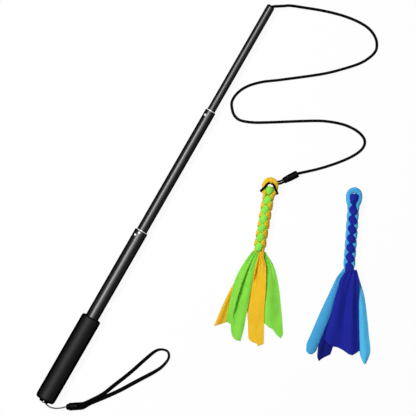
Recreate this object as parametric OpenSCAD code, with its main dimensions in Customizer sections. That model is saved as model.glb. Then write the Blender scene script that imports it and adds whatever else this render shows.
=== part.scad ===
// Dog flirt pole: a telescoping pole with a wrist strap, a bungee and a braided fleece lure,
// laid out on a floor with its spare lure beside it.
// The pole lies along +X with the middle of its butt at the origin, and +Z is up.

/* [Grip] */
// Outside diameter of the foam grip
grip_d = 30; // [26:0.5:40]
// Length of the foam grip
grip_l = 139; // [100:1:180]
// Rounding of the foam grip's front end
grip_round = 3; // [1:0.5:4]
// Rounding of the foam grip's end at the cap
grip_edge = 0.5; // [0.2:0.1:1]

/* [Tubes] */
// Outside diameter of the lower tube
lower_d = 20; // [19.5:0.1:22]
// Wall of the lower tube
lower_wall = 1.2; // [0.8:0.1:1.3]
// Length of the lower tube that shows above the grip
lower_show = 145; // [120:1:200]
// Outside diameter of the middle tube
middle_d = 16; // [15.2:0.1:16.4]
// Wall of the middle tube
middle_wall = 1; // [0.7:0.1:1.2]
// Length of the middle tube that shows when it is drawn out
middle_show = 202; // [195:1:240]
// Outside diameter of the tip tube
tip_d = 12.2; // [11.4:0.1:12.6]
// Wall of the tip tube
tip_wall = 1; // [0.7:0.1:1.1]
// Length of the tip tube that shows when it is drawn out
tip_show = 175; // [170:1:220]
// Length by which a drawn-out tube stays inside the next one
tube_overlap = 40; // [36:1:50]

/* [Tube ends] */
// Rounding on the outside of a tube's mouth
mouth_round = 0.7; // [0.2:0.1:0.7]
// Length of a mouth bush inside its tube
bush_l = 5; // [3:0.5:5.5]
// Wall of the mouth bush's lip, inside the ring
lip_wall = 0.45; // [0.3:0.05:0.5]
// Thickness of the bare metal ring on a tube's mouth
ring_t = 1.2; // [0.8:0.1:2]
// Length of the guide on a tube's inner end
guide_l = 8; // [5:0.5:10]

/* [Tip] */
// Length of the plug inside the tip tube
plug_l = 16; // [13:0.5:24]
// Length of the plug's rounded head
plug_head_l = 3; // [2:0.1:5]
// Rounding of the plug's head
plug_round = 2; // [1:0.1:2]
// Shank diameter of the tip rivet
rivet_d = 2.4; // [1.6:0.1:3]
// Head diameter of the tip rivet
rivet_head_d = 4; // [3.4:0.1:5]
// Height of the tip rivet's head
rivet_head_h = 0.8; // [0.5:0.1:1.5]
// Distance from the end of the tip tube back to the rivet
rivet_back = 7; // [5:0.5:9]
// Diameter of the stop knot inside the tip tube
knot_d = 8; // [6:0.1:8.4]

/* [Locks] */
// Diameter of a lock button
button_d = 4.6; // [3:0.1:5.4]
// Height by which a lock button stands above its tube
button_stand = 0.8; // [0.4:0.1:1.2]
// Distance from a tube's mouth back to its lock button
button_back = 8.4; // [8.2:0.1:12]
// Angle of the lock buttons from the top of the pole
button_angle = 35; // [0:1:90]
// Length of a lock spring's arm, from its bend to its button
spring_arm = 27; // [22:0.5:28]
// Thickness of the lock spring strip
spring_t = 0.6; // [0.3:0.1:0.8]
// Outside radius of the lock spring's bend
spring_bend_r = 1.8; // [1.2:0.1:2.4]

/* [Butt cap] */
// Length of the cap's flange, which covers the end of the grip
cap_flange_l = 3; // [2.4:0.1:3.4]
// Step from the grip down to the cap's flange
cap_step = 0.7; // [0.2:0.1:1.5]
// Rounding of the cap's flange
cap_round = 2.2; // [0.5:0.1:2.4]
// Length of the cap's plug inside the lower tube
cap_plug_l = 14; // [8:0.5:20]
// Wall of the cap's plug
cap_wall = 2; // [1:0.1:3]
// Diameter of the strap boss
boss_d = 14; // [10:0.1:16]
// Length by which the strap boss stands out
boss_l = 3.2; // [3:0.1:5]
// Height of the slot through the strap boss
slot_h = 3; // [2.6:0.1:4]
// Diameter of the strap pin
pin_d = 2; // [1.2:0.1:2.4]

/* [Wrist strap] */
// Diameter of the strap thread
thread_d = 1.5; // [1:0.1:1.8]
// Length of the strap joiner
joiner_l = 18; // [14:0.2:20]
// Diameter of the strap joiner
joiner_d = 11.4; // [10:0.1:12.5]
// Width of the strap webbing
webbing_w = 5.2; // [4:0.1:5.4]
// Thickness of the strap webbing
webbing_t = 1.5; // [0.8:0.1:1.6]
// Lean of the webbing from flat, along the legs of its loop
webbing_lean = 8; // [5:1:15]
// Further lean of the webbing at the far end of its loop
webbing_more_lean = 72; // [60:1:75]

/* [Bungee] */
// Diameter of the bungee cord
cord_d = 4; // [3:0.1:4.2]
// Length of the cord sleeve
sleeve_l = 23.5; // [18:0.1:26]
// Diameter of the cord sleeve at the bungee
sleeve_d = 10.6; // [10:0.1:12]
// Diameter of the cord sleeve at the lure
sleeve_end_d = 9.2; // [8.4:0.1:10]
// Depth of the cord sleeve's flared mouth
flare_l = 2.8; // [2:0.1:4]
// Slope of the flared mouth from the cord
flare_angle = 32; // [20:1:36]
// Diameter of the lure loop's cord
loop_d = 3; // [2:0.1:3.2]

/* [Lures] */
// Diameter over a lure's braid
braid_d = 17.5; // [16:0.1:20]
// Crossings on the front of the fitted lure's braid
lure_crossings = 6; // [4:1:10]
// Crossings on the front of the spare lure's braid
spare_crossings = 7; // [4:1:10]
// Length along the braid of one full turn of a strand
braid_pitch = 27.6; // [25:0.1:34]
// Outside radius of a lure's eye
eye_r = 12; // [11:0.1:14]
// Thickness of the strip around a lure's eye
eye_strand_d = 6.2; // [4:0.1:6.6]
// Distance from the middle of the eye to the start of the braid
neck_l = 15; // [13:0.1:18]
// Thickness of the fleece
fleece_t = 1.2; // [0.8:0.1:1.6]
// Length of the longest tail, beyond the braid
tail_l = 138; // [90:1:180]
// Width of a full-width tail as it lies
tail_w = 38; // [24:1:44]
// Height of a tail's folds
fold_h = 4; // [1:0.5:6]

/* [Hidden] */
$fn = 64;

// Clearances
slide_gap = 0.1;
glue_gap = 0.05;
button_gap = 0.25;
cord_gap = 0.2;
rest_gap = 0.1;
cut = 1;

// Shares of the sizes above
grip_round_share = 0.9;
boss_bevel_share = 0.3;
strip_w_share = 0.28;
dome_share = 0.7;
sleeve_bevel_share = 0.16;
joiner_bevel_share = 0.12;
joiner_groove_share = 0.06;
webbing_edge_share = 0.5;
webbing_face_share = 0.8;
webbing_lead_share = 0.9;
thread_lead_share = 1.4;
low_fold_share = 0.5;
exit_share = 1.35;

// Colours
tube_black = [0.05, 0.05, 0.06];
foam_black = [0.09, 0.09, 0.09];
plastic_black = [0.07, 0.07, 0.07];
bare_metal = [0.80, 0.81, 0.83];
spring_steel = [0.62, 0.63, 0.66];
nylon = [0.85, 0.85, 0.82];
cord_black = [0.06, 0.06, 0.07];
thread_grey = [0.45, 0.45, 0.46];
lime = [0.48, 0.86, 0.25];
amber = [0.96, 0.72, 0.12];
navy = [0.12, 0.12, 0.52];
sky = [0.20, 0.62, 0.88];

// Places along the pole
floor_z = -grip_d / 2;
lower_end = grip_l + lower_show;
middle_end = lower_end + middle_show;
tip_end = middle_end + tip_show;
middle_start = lower_end - tube_overlap;
tip_start = middle_end - tube_overlap;
lower_bore = lower_d - 2 * lower_wall;
middle_bore = middle_d - 2 * middle_wall;
tip_bore = tip_d - 2 * tip_wall;
lower_lock_x = lower_end - button_back;
upper_lock_x = middle_end - button_back;
pin_share = 0.55;
pin_x = -boss_l * pin_share;

// The bungee's route over the floor, from inside the tip plug to the cord sleeve
cord_z = floor_z + cord_d / 2 + rest_gap;
bungee_rise_share = 0.4;
bungee_lead = [
  [-15, 0, 0], [-10, 0, 0], [-6, 0, 0], [-2, -1.1, 0], [0.8, -3.6, -0.2], [4, -8.3, -1], [9, -15.8, -2.8],
  [14.5, -24, -5], [23, -44, -10.3]
];
bungee_run = [
  [696, -67], [703.5, -92], [707.5, -113], [708.5, -131], [706, -145], [699.5, -156.5], [691, -163],
  [682.5, -165], [671, -162], [656, -153.5], [635, -134.5], [614, -112], [577.5, -65], [562, -44],
  [546, -28.5], [530, -20.5], [515, -19.5], [505, -25.5], [498.5, -33.5], [497, -44], [503, -60.5],
  [514.5, -80.5], [547, -132.5], [559.5, -156], [567.5, -180.5], [568.5, -202], [562.5, -216.5],
  [549.5, -219.5], [532.5, -212], [513, -197.5]
];
bungee_close = [[492, -178.2]];

// The cord sleeve, with its mouth on the bungee and its end at the lure loop
sleeve_mouth = [471.3, -155.7];
sleeve_heading = 147;
sleeve_z = floor_z + sleeve_d / 2;
flare_point = turned([flare_l, 0], sleeve_heading) + sleeve_mouth;

// The wrist strap's routes over the floor
joiner_place = [6, -32.5];
joiner_heading = -56;
joiner_z = floor_z + joiner_d / 2;
thread_run = [[-4, -6, -0.3], [-5, -12, -2], [-3.5, -19, -5.5], [0.5, -26, -8.6]];
webbing_run = [
  [25, -53.6], [32.1, -57.2], [49, -68.9], [68, -77.5], [95.5, -88.5], [127, -99], [142, -105],
  [148.5, -111.5], [150.5, -120], [146, -125.5], [138.5, -127], [126.5, -124.5], [115, -119],
  [104.5, -112.5], [87, -101.5], [66, -88.5], [45.6, -75], [28.2, -62.5], [20.6, -56.4]
];
webbing_apart = 2.6;
webbing_lean_shares = [
  [0, 0.58], [0.09, 0.58], [0.136, 0.5], [0.18, 0.24], [0.227, 0.1], [0.27, 0.38], [0.32, 0.65], [0.36, 0.8],
  [0.41, 1], [0.545, 1], [0.59, 0.8], [0.636, 0.45], [0.68, 0.1], [0.727, 0], [0.77, 0], [0.82, 0.24],
  [0.864, 0.5], [0.91, 0.58], [1, 0.58]
];

// Where the lures lie: the middle of the eye, and the way the braid points
lure_eye = [435.9, -129.4];
lure_heading = -159.7;
spare_eye = [484.5, -243.2];
spare_heading = -154.2;

// The lure loop's two legs, from the sleeve up through the eye and down around the neck, and its bight below.
// Points are in the lure's own frame, with the middle of the eye at zero.
loop_far_leg = [
  [-4.2, 11.5, -7.5], [-3.4, 7.4, -6.8], [-2.9, 3.9, -4.9], [-2.6, 1.9, -0.6], [-2.6, 3.4, 4.2],
  [0, 5.6, 6.4], [4.6, 8.3, 6.5], [8.4, 11.4, 3.9], [10, 12.2, -2.5]
];
loop_near_leg = [
  [-7.3, 9.4, -7.5], [-6.2, 4.9, -6.8], [-5, 0.9, -4.9], [-2.9, -1.9, -0.6], [-2.6, -3.4, 4.2],
  [0, -5.6, 6.4], [4.6, -8.3, 6.5], [8.4, -11.4, 3.9], [10, -12.2, -2.5]
];
loop_under = [[11.2, 7.4, -10.4], [11.4, 0, -11.3], [11.2, -7.4, -10.4]];
loop_apart = 1.7;
loop_lead_share = 1.5;

// Braid: a strand's middle radius, thickness and width, under, level and over another strand,
// as shares of the braid's radius
braid_r = braid_d / 2;
strand_r_share = 0.457;
strand_swing_share = 0.28;
strand_t_share = 0.42;
strand_t_swing_share = 0.103;
strand_w_share = 0.4;
strand_bulge_share = 1.2;
strand_rings_per_turn = 14;
strand_sides = 8;

// Height of a braid's axis above the floor, at the eye and at the tails
loop_lift_share = 1.35;
loop_lift = loop_d * loop_lift_share;
braid_rest = braid_r + rest_gap;

function turned(p, a) = [p.x * cos(a) - p.y * sin(a), p.x * sin(a) + p.y * cos(a)];
function unit(v) = v / norm(v);
function mix(a, b, t) = a + (b - a) * t;
function ease(t) = let (c = min(max(t, 0), 1)) c * c * (3 - 2 * c);

// A smooth curve through points, with a number of steps between each pair
function curve_point(a, b, c, d, t) =
  0.5 * (2 * b + (c - a) * t + (2 * a - 5 * b + 4 * c - d) * t * t + (3 * b - a - 3 * c + d) * t * t * t);
function curve(points, steps) = let (
  last = len(points) - 1,
  ends = concat([2 * points[0] - points[1]], points, [2 * points[last] - points[last - 1]])
) concat(
  [for (i = [0 : last - 1], k = [0 : steps - 1])
    curve_point(ends[i], ends[i + 1], ends[i + 2], ends[i + 3], k / steps)],
  [points[last]]
);

// The direction of a path at one of its points
function heading(path, i) = unit(path[min(i + 1, len(path) - 1)] - path[max(i - 1, 0)]);

// An oval ring of points about a middle, on two half axes
function oval(middle, across, up, sides) =
  [for (k = [0 : sides - 1]) let (a = 360 * (k + 0.5) / sides) middle + across * cos(a) + up * sin(a)];

// Rings of a cord along a path, each ring's upright carried on from the one before
function squared(up, way) = unit(up - way * (up * way));
function cord_rings(path, r, sides) = [
  for (
    i = 0, way = heading(path, 0), up = squared([0, 0, 1], way);
    i < len(path);
    i = i + 1, way = heading(path, min(i, len(path) - 1)), up = squared(up, way)
  ) oval(path[i], cross(up, way) * r, up * r, sides)
];

// A closed solid through rings of equal count, with flat ends
module loft(rings) {
  n = len(rings[0]);
  m = len(rings);
  polyhedron(
    [for (ring = rings) each ring],
    concat(
      [for (i = [0 : m - 2], j = [0 : n - 1]) each [
        [i * n + j, (i + 1) * n + j, i * n + (j + 1) % n],
        [i * n + (j + 1) % n, (i + 1) * n + j, (i + 1) * n + (j + 1) % n]
      ]],
      [for (j = [0 : n / 2 - 2]) each [[j, j + 1, n - 1 - j], [j + 1, n - 2 - j, n - 1 - j]]],
      [for (j = [0 : n / 2 - 2]) let (o = (m - 1) * n) each [
        [o + j, o + n - 1 - j, o + j + 1], [o + j + 1, o + n - 1 - j, o + n - 2 - j]
      ]]
    )
  );
}

// A sheet of cloth with a thickness, from a grid of points on its middle surface
module cloth(grid, thickness) {
  rows = len(grid);
  cols = len(grid[0]);
  function slope(r, c) = unit(cross(
    grid[min(r + 1, rows - 1)][c] - grid[max(r - 1, 0)][c],
    grid[r][min(c + 1, cols - 1)] - grid[r][max(c - 1, 0)]
  ));
  loft([for (r = [0 : rows - 1]) concat(
    [for (c = [cols - 1 : -1 : 0]) grid[r][c] + slope(r, c) * thickness / 2],
    [for (c = [0 : cols - 1]) grid[r][c] - slope(r, c) * thickness / 2]
  )]);
}

// Turns a shape's own Z along the pole, at a distance from the butt
module along_pole(x) {
  translate([x, 0, 0]) rotate([0, 90, 0]) children();
}

// Turns a shape's own Z out through the lock buttons
module at_lock(x) {
  translate([x, 0, 0]) rotate([-button_angle, 0, 0]) children();
}

module pipe(outer, inner, length) {
  difference() {
    cylinder(d = outer, h = length);
    translate([0, 0, -cut]) cylinder(d = inner, h = length + 2 * cut);
  }
}

// A tube from its inner end to its rounded mouth
module tube(outer, inner, length) {
  rotate_extrude() polygon(concat(
    [[inner / 2, 0], [outer / 2, 0]],
    [for (a = [0 : 15 : 90]) [outer / 2 - mouth_round * (1 - cos(a)), length - mouth_round * (1 - sin(a))]],
    [[inner / 2, length]]
  ));
}

module button_hole(reach) {
  cylinder(d = button_d + 2 * button_gap, h = reach);
}

// Sections of the pole

module grip_sleeve() {
  length = grip_l - cap_flange_l;
  front_round = min(grip_round, (grip_d / 2 - lower_d / 2 - glue_gap) * grip_round_share);
  color(foam_black) along_pole(cap_flange_l) rotate_extrude() polygon(concat(
    [[lower_d / 2 + glue_gap, 0]],
    [for (a = [-90 : 15 : 0]) [grip_d / 2 - grip_edge * (1 - cos(a)), grip_edge * (1 + sin(a))]],
    [for (a = [0 : 15 : 90]) [grip_d / 2 - front_round * (1 - cos(a)), length - front_round * (1 - sin(a))]],
    [[lower_d / 2 + glue_gap, length]]
  ));
}

module lower_tube() {
  color(tube_black) difference() {
    along_pole(cap_flange_l) tube(lower_d, lower_bore, lower_end - cap_flange_l);
    at_lock(lower_lock_x) button_hole(lower_d);
  }
}

module butt_cap() {
  flange_r = grip_d / 2 - cap_step;
  slot_floor = pin_x + pin_d / 2 + thread_d + 2 * cord_gap;
  color(plastic_black) difference() {
    union() {
      along_pole(0) rotate_extrude() polygon(concat(
        [[0, 0]],
        [for (a = [-90 : 15 : 0]) [flange_r - cap_round * (1 - cos(a)), cap_round * (1 + sin(a))]],
        [[flange_r, cap_flange_l], [0, cap_flange_l]]
      ));
      along_pole(cap_flange_l) cylinder(d = lower_bore - 2 * glue_gap, h = cap_plug_l);
      along_pole(-boss_l) rotate_extrude() difference() {
        square([boss_d / 2, boss_l + cap_flange_l / 2]);
        translate([boss_d / 2, 0]) rotate(45) square(boss_l * boss_bevel_share, center = true);
      }
    }
    along_pole(cap_flange_l + cap_wall) cylinder(d = lower_bore - 2 * glue_gap - 2 * cap_wall, h = cap_plug_l);
    translate([-boss_l - cut, -boss_d / 2 - cut, -slot_h / 2]) cube([boss_l + cut + slot_floor, boss_d + 2 * cut, slot_h]);
    translate([pin_x, 0, -boss_d]) cylinder(d = pin_d + 2 * glue_gap, h = 2 * boss_d);
  }
}

module strap_pin() {
  half = sqrt(pow(boss_d / 2, 2) - pow(pin_d / 2 + glue_gap, 2)) - glue_gap;
  color(bare_metal) translate([pin_x, 0, -half]) cylinder(d = pin_d, h = 2 * half);
}

// A bush in a tube's mouth that the next tube slides through, with a lip for the ring
module mouth_bush(end, outer_bore, inner_d) {
  color(nylon) along_pole(end - bush_l) difference() {
    union() {
      cylinder(d = outer_bore - 2 * glue_gap, h = bush_l);
      cylinder(d = inner_d + 2 * slide_gap + 2 * lip_wall, h = bush_l + ring_t);
    }
    translate([0, 0, -cut]) cylinder(d = inner_d + 2 * slide_gap, h = bush_l + ring_t + 2 * cut);
  }
}

module mouth_ring(end, outer_d, inner_d) {
  color(bare_metal) along_pole(end)
    pipe(outer_d - 2 * mouth_round, inner_d + 2 * (slide_gap + lip_wall + glue_gap), ring_t);
}

// A guide pressed on a tube's inner end, which slides in the tube outside it
module end_guide(start, outer_bore, inner_d) {
  color(nylon) along_pole(start) pipe(outer_bore - 2 * slide_gap, inner_d + 2 * glue_gap, guide_l);
}

module lower_mouth_ring() mouth_ring(lower_end, lower_d, middle_d);

module lower_mouth_bush() mouth_bush(lower_end, lower_bore, middle_d);

module middle_guide() end_guide(middle_start, lower_bore, middle_d);

module upper_mouth_ring() mouth_ring(middle_end, middle_d, tip_d);

module upper_mouth_bush() mouth_bush(middle_end, middle_bore, tip_d);

module tip_guide() end_guide(tip_start, middle_bore, tip_d);

module middle_tube() {
  color(tube_black) difference() {
    along_pole(middle_start) tube(middle_d, middle_bore, middle_end - middle_start);
    at_lock(lower_lock_x) button_hole(lower_d);
    at_lock(upper_lock_x) button_hole(middle_d);
  }
}

module tip_tube() {
  color(tube_black) difference() {
    along_pole(tip_start) pipe(tip_d, tip_bore, tip_end - tip_start);
    at_lock(upper_lock_x) button_hole(middle_d);
    translate([tip_end - rivet_back, 0, 0]) rotate([-90, 0, 0])
      cylinder(d = rivet_d + 2 * glue_gap, h = tip_d);
  }
}

// Locks: a strip bent to a V, whose upper arm carries the button and turns about the bend

function strip_w(bore) = bore * strip_w_share;
function arm_rise(bore) = sqrt(pow(bore / 2, 2) - pow(strip_w(bore) / 2, 2)) - button_gap;

// Draws an outline, along the pole and out through the button, as a strip about the bend
module strip(lock_x, width) {
  at_lock(lock_x - spring_arm) rotate([90, 0, 0]) linear_extrude(width, center = true) children();
}

module arm_outline(start, bore) {
  reach = spring_arm + button_d / 2;
  rise = arm_rise(bore);
  polygon([
    [start, spring_bend_r - spring_t], [start, spring_bend_r], [reach, rise], [reach, rise - spring_t]
  ]);
}

module lock_spring(lock_x, bore) {
  color(spring_steel) strip(lock_x, strip_w(bore)) {
    difference() {
      circle(r = spring_bend_r);
      circle(r = spring_bend_r - spring_t);
      translate([0, -spring_bend_r - cut]) square([spring_bend_r + cut, 2 * (spring_bend_r + cut)]);
    }
    mirror([0, 1]) arm_outline(0, bore);
  }
}

module lock_button(lock_x, bore, outer_d) {
  root = spring_bend_r + (arm_rise(bore) - spring_bend_r) * spring_arm / (spring_arm + button_d / 2) - spring_t / 2;
  top = outer_d / 2 + button_stand;
  dome = button_stand * dome_share;
  color(bare_metal) {
    strip(lock_x, strip_w(bore)) arm_outline(button_gap, bore);
    at_lock(lock_x) rotate_extrude() polygon(concat(
      [[0, root], [button_d / 2, root]],
      [for (a = [0 : 15 : 90]) [button_d / 2 - dome * (1 - cos(a)), top - dome * (1 - sin(a))]],
      [[0, top]]
    ));
  }
}

module lower_lock_spring() lock_spring(lower_lock_x, middle_bore);

module lower_lock_button() lock_button(lower_lock_x, middle_bore, lower_d);

module upper_lock_spring() lock_spring(upper_lock_x, tip_bore);

module upper_lock_button() lock_button(upper_lock_x, tip_bore, middle_d);

// Tip of the pole

// The plug's head has a notch at one side, where the bungee turns out of it
module tip_plug() {
  exit_d = cord_d * exit_share + 2 * cord_gap;
  color(plastic_black) difference() {
    union() {
      along_pole(tip_end - plug_l) cylinder(d = tip_bore - 2 * glue_gap, h = plug_l + plug_head_l / 2);
      along_pole(tip_end) rotate_extrude() difference() {
        square([tip_d / 2, plug_head_l]);
        translate([tip_d / 2 - plug_round, plug_head_l - plug_round]) difference() {
          square(plug_round + cut);
          circle(r = plug_round);
        }
      }
    }
    along_pole(tip_end - plug_l - cut)
      cylinder(d = cord_d + 2 * cord_gap, h = plug_l + plug_head_l + 2 * cut);
    along_pole(tip_end - cord_d) cylinder(d1 = cord_d + 2 * cord_gap, d2 = exit_d, h = cord_d);
    along_pole(tip_end) cylinder(d = exit_d, h = plug_head_l + cut);
    translate([tip_end, -tip_d, -exit_d / 2]) cube([plug_head_l + cut, tip_d, exit_d]);
    translate([tip_end - rivet_back, 0, 0]) rotate([-90, 0, 0])
      cylinder(d = rivet_d + 2 * glue_gap, h = tip_d);
  }
}

module tip_rivet() {
  inner = cord_d / 2 + cord_gap + glue_gap;
  seat = tip_d / 2;
  color(bare_metal) translate([tip_end - rivet_back, 0, 0]) rotate([-90, 0, 0]) rotate_extrude() polygon(concat(
    [[0, inner], [rivet_d / 2, inner], [rivet_d / 2, seat]],
    [for (a = [0 : 15 : 90]) [rivet_head_d / 2 * cos(a), seat + rivet_head_h * sin(a)]]
  ));
}

// Cords

module stop_knot() {
  color(cord_black) along_pole(tip_end - plug_l - rest_gap - knot_d / 2) scale(knot_d / 2) sphere(r = 1);
}

function bungee_path() = concat(
  curve(concat(
    [for (p = bungee_lead) p + [tip_end + plug_head_l, 0, 0]],
    [for (p = bungee_run) [p.x, p.y, cord_z]],
    [for (p = bungee_close) [p.x, p.y, mix(cord_z, sleeve_z, bungee_rise_share)]],
    [concat(sleeve_mouth, sleeve_z)]
  ), 2),
  [concat(flare_point, sleeve_z)]
);

module bungee_cord() {
  path = bungee_path();
  tail = concat(unit(turned([1, 0], sleeve_heading)), 0);
  across = cross([0, 0, 1], tail);
  round_end = [for (a = [30, 65]) oval(
    path[len(path) - 1] + tail * cord_d / 2 * sin(a),
    across * cord_d / 2 * cos(a), [0, 0, cord_d / 2 * cos(a)], 8
  )];
  color(cord_black) loft(concat(cord_rings(path, cord_d / 2, 8), round_end));
}

// Turns a shape's own Z from the sleeve's mouth towards the lure
module at_sleeve() {
  translate(concat(sleeve_mouth, sleeve_z)) rotate(sleeve_heading) rotate([0, 90, 0]) children();
}

module cord_sleeve() {
  bevel = sleeve_end_d * sleeve_bevel_share;
  socket = cord_d / 2 + cord_gap;
  color(plastic_black) at_sleeve() difference() {
    rotate_extrude() polygon([
      [0, 0], [sleeve_d / 2 - bevel / 2, 0], [sleeve_d / 2, bevel],
      [sleeve_d / 2, sleeve_l / 2], [sleeve_end_d / 2, sleeve_l - bevel],
      [sleeve_end_d / 2 - bevel / 2, sleeve_l], [0, sleeve_l]
    ]);
    rotate_extrude() polygon([
      [0, -cut], [socket + (flare_l + cut) * tan(flare_angle), -cut], [socket, flare_l],
      [socket, flare_l + cord_d], [0, flare_l + cord_d]
    ]);
  }
}

// Places a shape made in a lure's own frame, with the middle of its eye at zero
module at_lure(eye, way, lift, length) {
  dip = asin(lift / (neck_l + length));
  translate([eye.x, eye.y, floor_z + braid_rest + lift]) rotate([0, 0, way]) rotate([0, dip, 0]) children();
}

// A point on the floor plan, and its height above the floor, in the loop's level frame
function from_lure(p) = turned(p - lure_eye, -lure_heading);

module cord_loop() {
  end = flare_point + turned([sleeve_l - flare_l + glue_gap, 0], sleeve_heading);
  side = turned([0, loop_apart], sleeve_heading);
  lead = turned([loop_d * loop_lead_share, 0], sleeve_heading);
  deck = braid_rest + loop_lift;
  far = [for (p = [end, end + lead]) concat(from_lure(p + side), sleeve_d / 2 - deck)];
  near = [for (p = [end, end + lead]) concat(from_lure(p - side), sleeve_d / 2 - deck)];
  route = concat(far, loop_far_leg, loop_under, reversed(concat(near, loop_near_leg)));
  color(cord_black) translate([lure_eye.x, lure_eye.y, floor_z + deck]) rotate(lure_heading)
    loft(cord_rings(curve(route, 2), loop_d / 2, 8));
}

// Wrist strap

module strap_thread() {
  eye_mid_r = pin_d / 2 + cord_gap + thread_d / 2;
  route = concat(
    [[pin_x, -eye_mid_r, 0]], thread_run,
    [for (back = [thread_d * thread_lead_share, rest_gap])
      concat(joiner_place - turned([back, 0], joiner_heading), joiner_z)]
  );
  color(thread_grey) {
    translate([pin_x, 0, 0]) rotate_extrude() translate([eye_mid_r, 0]) circle(d = thread_d);
    loft(cord_rings(curve(route, 4), thread_d / 2, 8));
  }
}

module strap_joiner() {
  bevel = joiner_d * joiner_bevel_share;
  groove = joiner_d * joiner_groove_share;
  color(plastic_black) translate(concat(joiner_place, joiner_z)) rotate(joiner_heading) rotate([0, 90, 0])
    rotate_extrude() polygon([
      [0, 0], [joiner_d / 2 - 2 * bevel, 0], [joiner_d / 2 - bevel, bevel], [joiner_d / 2 - bevel, 2 * bevel],
      [joiner_d / 2 - groove, 3 * bevel], [joiner_d / 2, 4 * bevel], [joiner_d / 2, joiner_l - bevel],
      [joiner_d / 2 - bevel, joiner_l], [0, joiner_l]
    ]);
}

// The webbing's lean from flat at a share of its length, and the height of its middle as it lies
function lean_at(t) = webbing_lean + webbing_more_lean * lookup(t, webbing_lean_shares);
function webbing_lie(t) =
  floor_z + 2 * rest_gap + webbing_w / 2 * sin(lean_at(t)) + webbing_t / 2 * cos(lean_at(t));

module strap_webbing() {
  end = joiner_place + turned([joiner_l + 4 * rest_gap, 0], joiner_heading);
  side = turned([0, webbing_apart], joiner_heading);
  leads = [for (lead = [0, webbing_w * webbing_lead_share]) end + turned([lead, 0], joiner_heading)];
  path = curve(concat(
    [for (p = leads) concat(p + side, joiner_z)],
    [for (i = [0 : len(webbing_run) - 1])
      concat(webbing_run[i], webbing_lie((i + len(leads)) / (len(webbing_run) + 2 * len(leads) - 1)))],
    reversed([for (p = leads) concat(p - side, joiner_z)])
  ), 2);
  last = len(path) - 1;
  color(cord_black) loft([for (i = [0 : last]) let (
    way = heading(path, i),
    across = unit(cross([0, 0, 1], way)),
    up = cross(way, across),
    lean = lean_at(i / last),
    wide = (across * cos(lean) + up * sin(lean)) * webbing_w / 2,
    thick = (up * cos(lean) - across * sin(lean)) * webbing_t / 2,
    edge = thick * webbing_edge_share,
    face = wide * webbing_face_share
  ) [
    path[i] + wide - edge, path[i] + wide + edge, path[i] + face + thick,
    path[i] - face + thick, path[i] - wide + edge, path[i] - wide - edge,
    path[i] - face - thick, path[i] + face - thick
  ]]);
}

// Braids: two strips, each folded at the head into two strands. The front strip's strands turn one
// way and pass over on the front and back, the side strip's turn the other way and pass over at the sides.

// How far a strand at an angle from the front is over its neighbour, from -1 to 1
function over(angle, front) = (front ? 1 : -1) * cos(2 * angle);

// Lengths of the two braids, which end as they start, with the side strands over
lure_braid_l = lure_crossings * braid_pitch / 2;
spare_braid_l = spare_crossings * braid_pitch / 2;

// A strand's middle, and its ring, at a distance along the braid
function strand_angle(s, turn, start) = start + turn * 360 * s / braid_pitch;
function strand_point(s, turn, start, front) = let (
  a = strand_angle(s, turn, start),
  r = braid_r * (strand_r_share + strand_swing_share * over(a, front))
) [neck_l + s, r * sin(a), r * cos(a)];

// Leads a side strand from the eye's leg into the braid
leg_blend_share = 0.3;
leg_in_share = 0.2;
leg_round_share = 0.6;
function eye_leg(s, turn, start) = let (
  mid_r = (eye_r - eye_strand_d / 2) * (1 - leg_in_share * ease(1 + s / neck_l)),
  t = ease(-s / (neck_l * leg_blend_share))
) mix(strand_point(s, turn, start, false), [neck_l + s, mid_r * sin(start), 0], t);

// A ring about a station's middle, thick along its outward direction
function station_ring(station, way) = let (
  up = unit(station[3] - way * (station[3] * way)),
  across = cross(up, way)
) oval(station[0], across * station[2] / 2, up * station[1] / 2, strand_sides);

// Outward from the braid's axis
function outward(p) = [0, p.y, p.z];

function strand_thick(u) = braid_r * (strand_t_share + strand_t_swing_share * u);
function strand_wide(u) = braid_r * (strand_w_share + (u > 0 ? strand_bulge_share * pow(u, 1.5) : 0));

// One strip as [middle, thickness, width, outward] stations, from one strand's end over the head to the other's
function strand_stations(turn, start, front, length) = let (
  steps = round(length / braid_pitch * strand_rings_per_turn)
) [for (i = [0 : steps]) let (
  s = length * i / steps, u = over(strand_angle(s, turn, start), front), p = strand_point(s, turn, start, front)
) [p, strand_thick(u), strand_wide(u), outward(p)]];

// Leads a strand's end straight on from the braid, to where its tail starts
end_lead_share = 0.3;
function led_on(stations) = let (
  last = stations[len(stations) - 1]
) concat(stations, [[last[0] + [braid_r * end_lead_share, 0, 0], last[1], last[2], last[3]]]);

function reversed(list) = [for (i = [len(list) - 1 : -1 : 0]) list[i]];

head_steps = 5;
head_reach_share = 0.43;
head_rise_share = 0.5;
head_over = 1.7;
function front_head() = let (
  r0 = braid_r * (strand_r_share - strand_swing_share)
) [for (i = [1 : head_steps - 1]) let (
  t = 180 * i / head_steps, a = 90 - t, r = r0 + braid_r * head_rise_share * pow(sin(t), 2),
  p = [neck_l - neck_l * head_reach_share * sin(t), r * sin(a), r * cos(a)]
) [p, strand_thick(head_over * sin(t) - 1), strand_wide(head_over * sin(t) - 1), outward(p)]];

eye_steps = 10;
leg_steps = 3;
function leg_stations(start) = [for (i = [1 : leg_steps]) let (
  p = eye_leg(-neck_l * i / (leg_steps + 1), -1, start), t = ease(i / leg_steps / leg_round_share)
) [p, mix(strand_thick(1), eye_strand_d, t), mix(strand_wide(1), eye_strand_d, t), outward(p)]];
function side_head() = let (mid_r = eye_r - eye_strand_d / 2) concat(
  leg_stations(90),
  [for (i = [0 : eye_steps]) let (a = 90 + 180 * i / eye_steps, p = [mid_r * cos(a), mid_r * sin(a), 0])
    [p, eye_strand_d, eye_strand_d, p]],
  reversed(leg_stations(-90))
);

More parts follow.
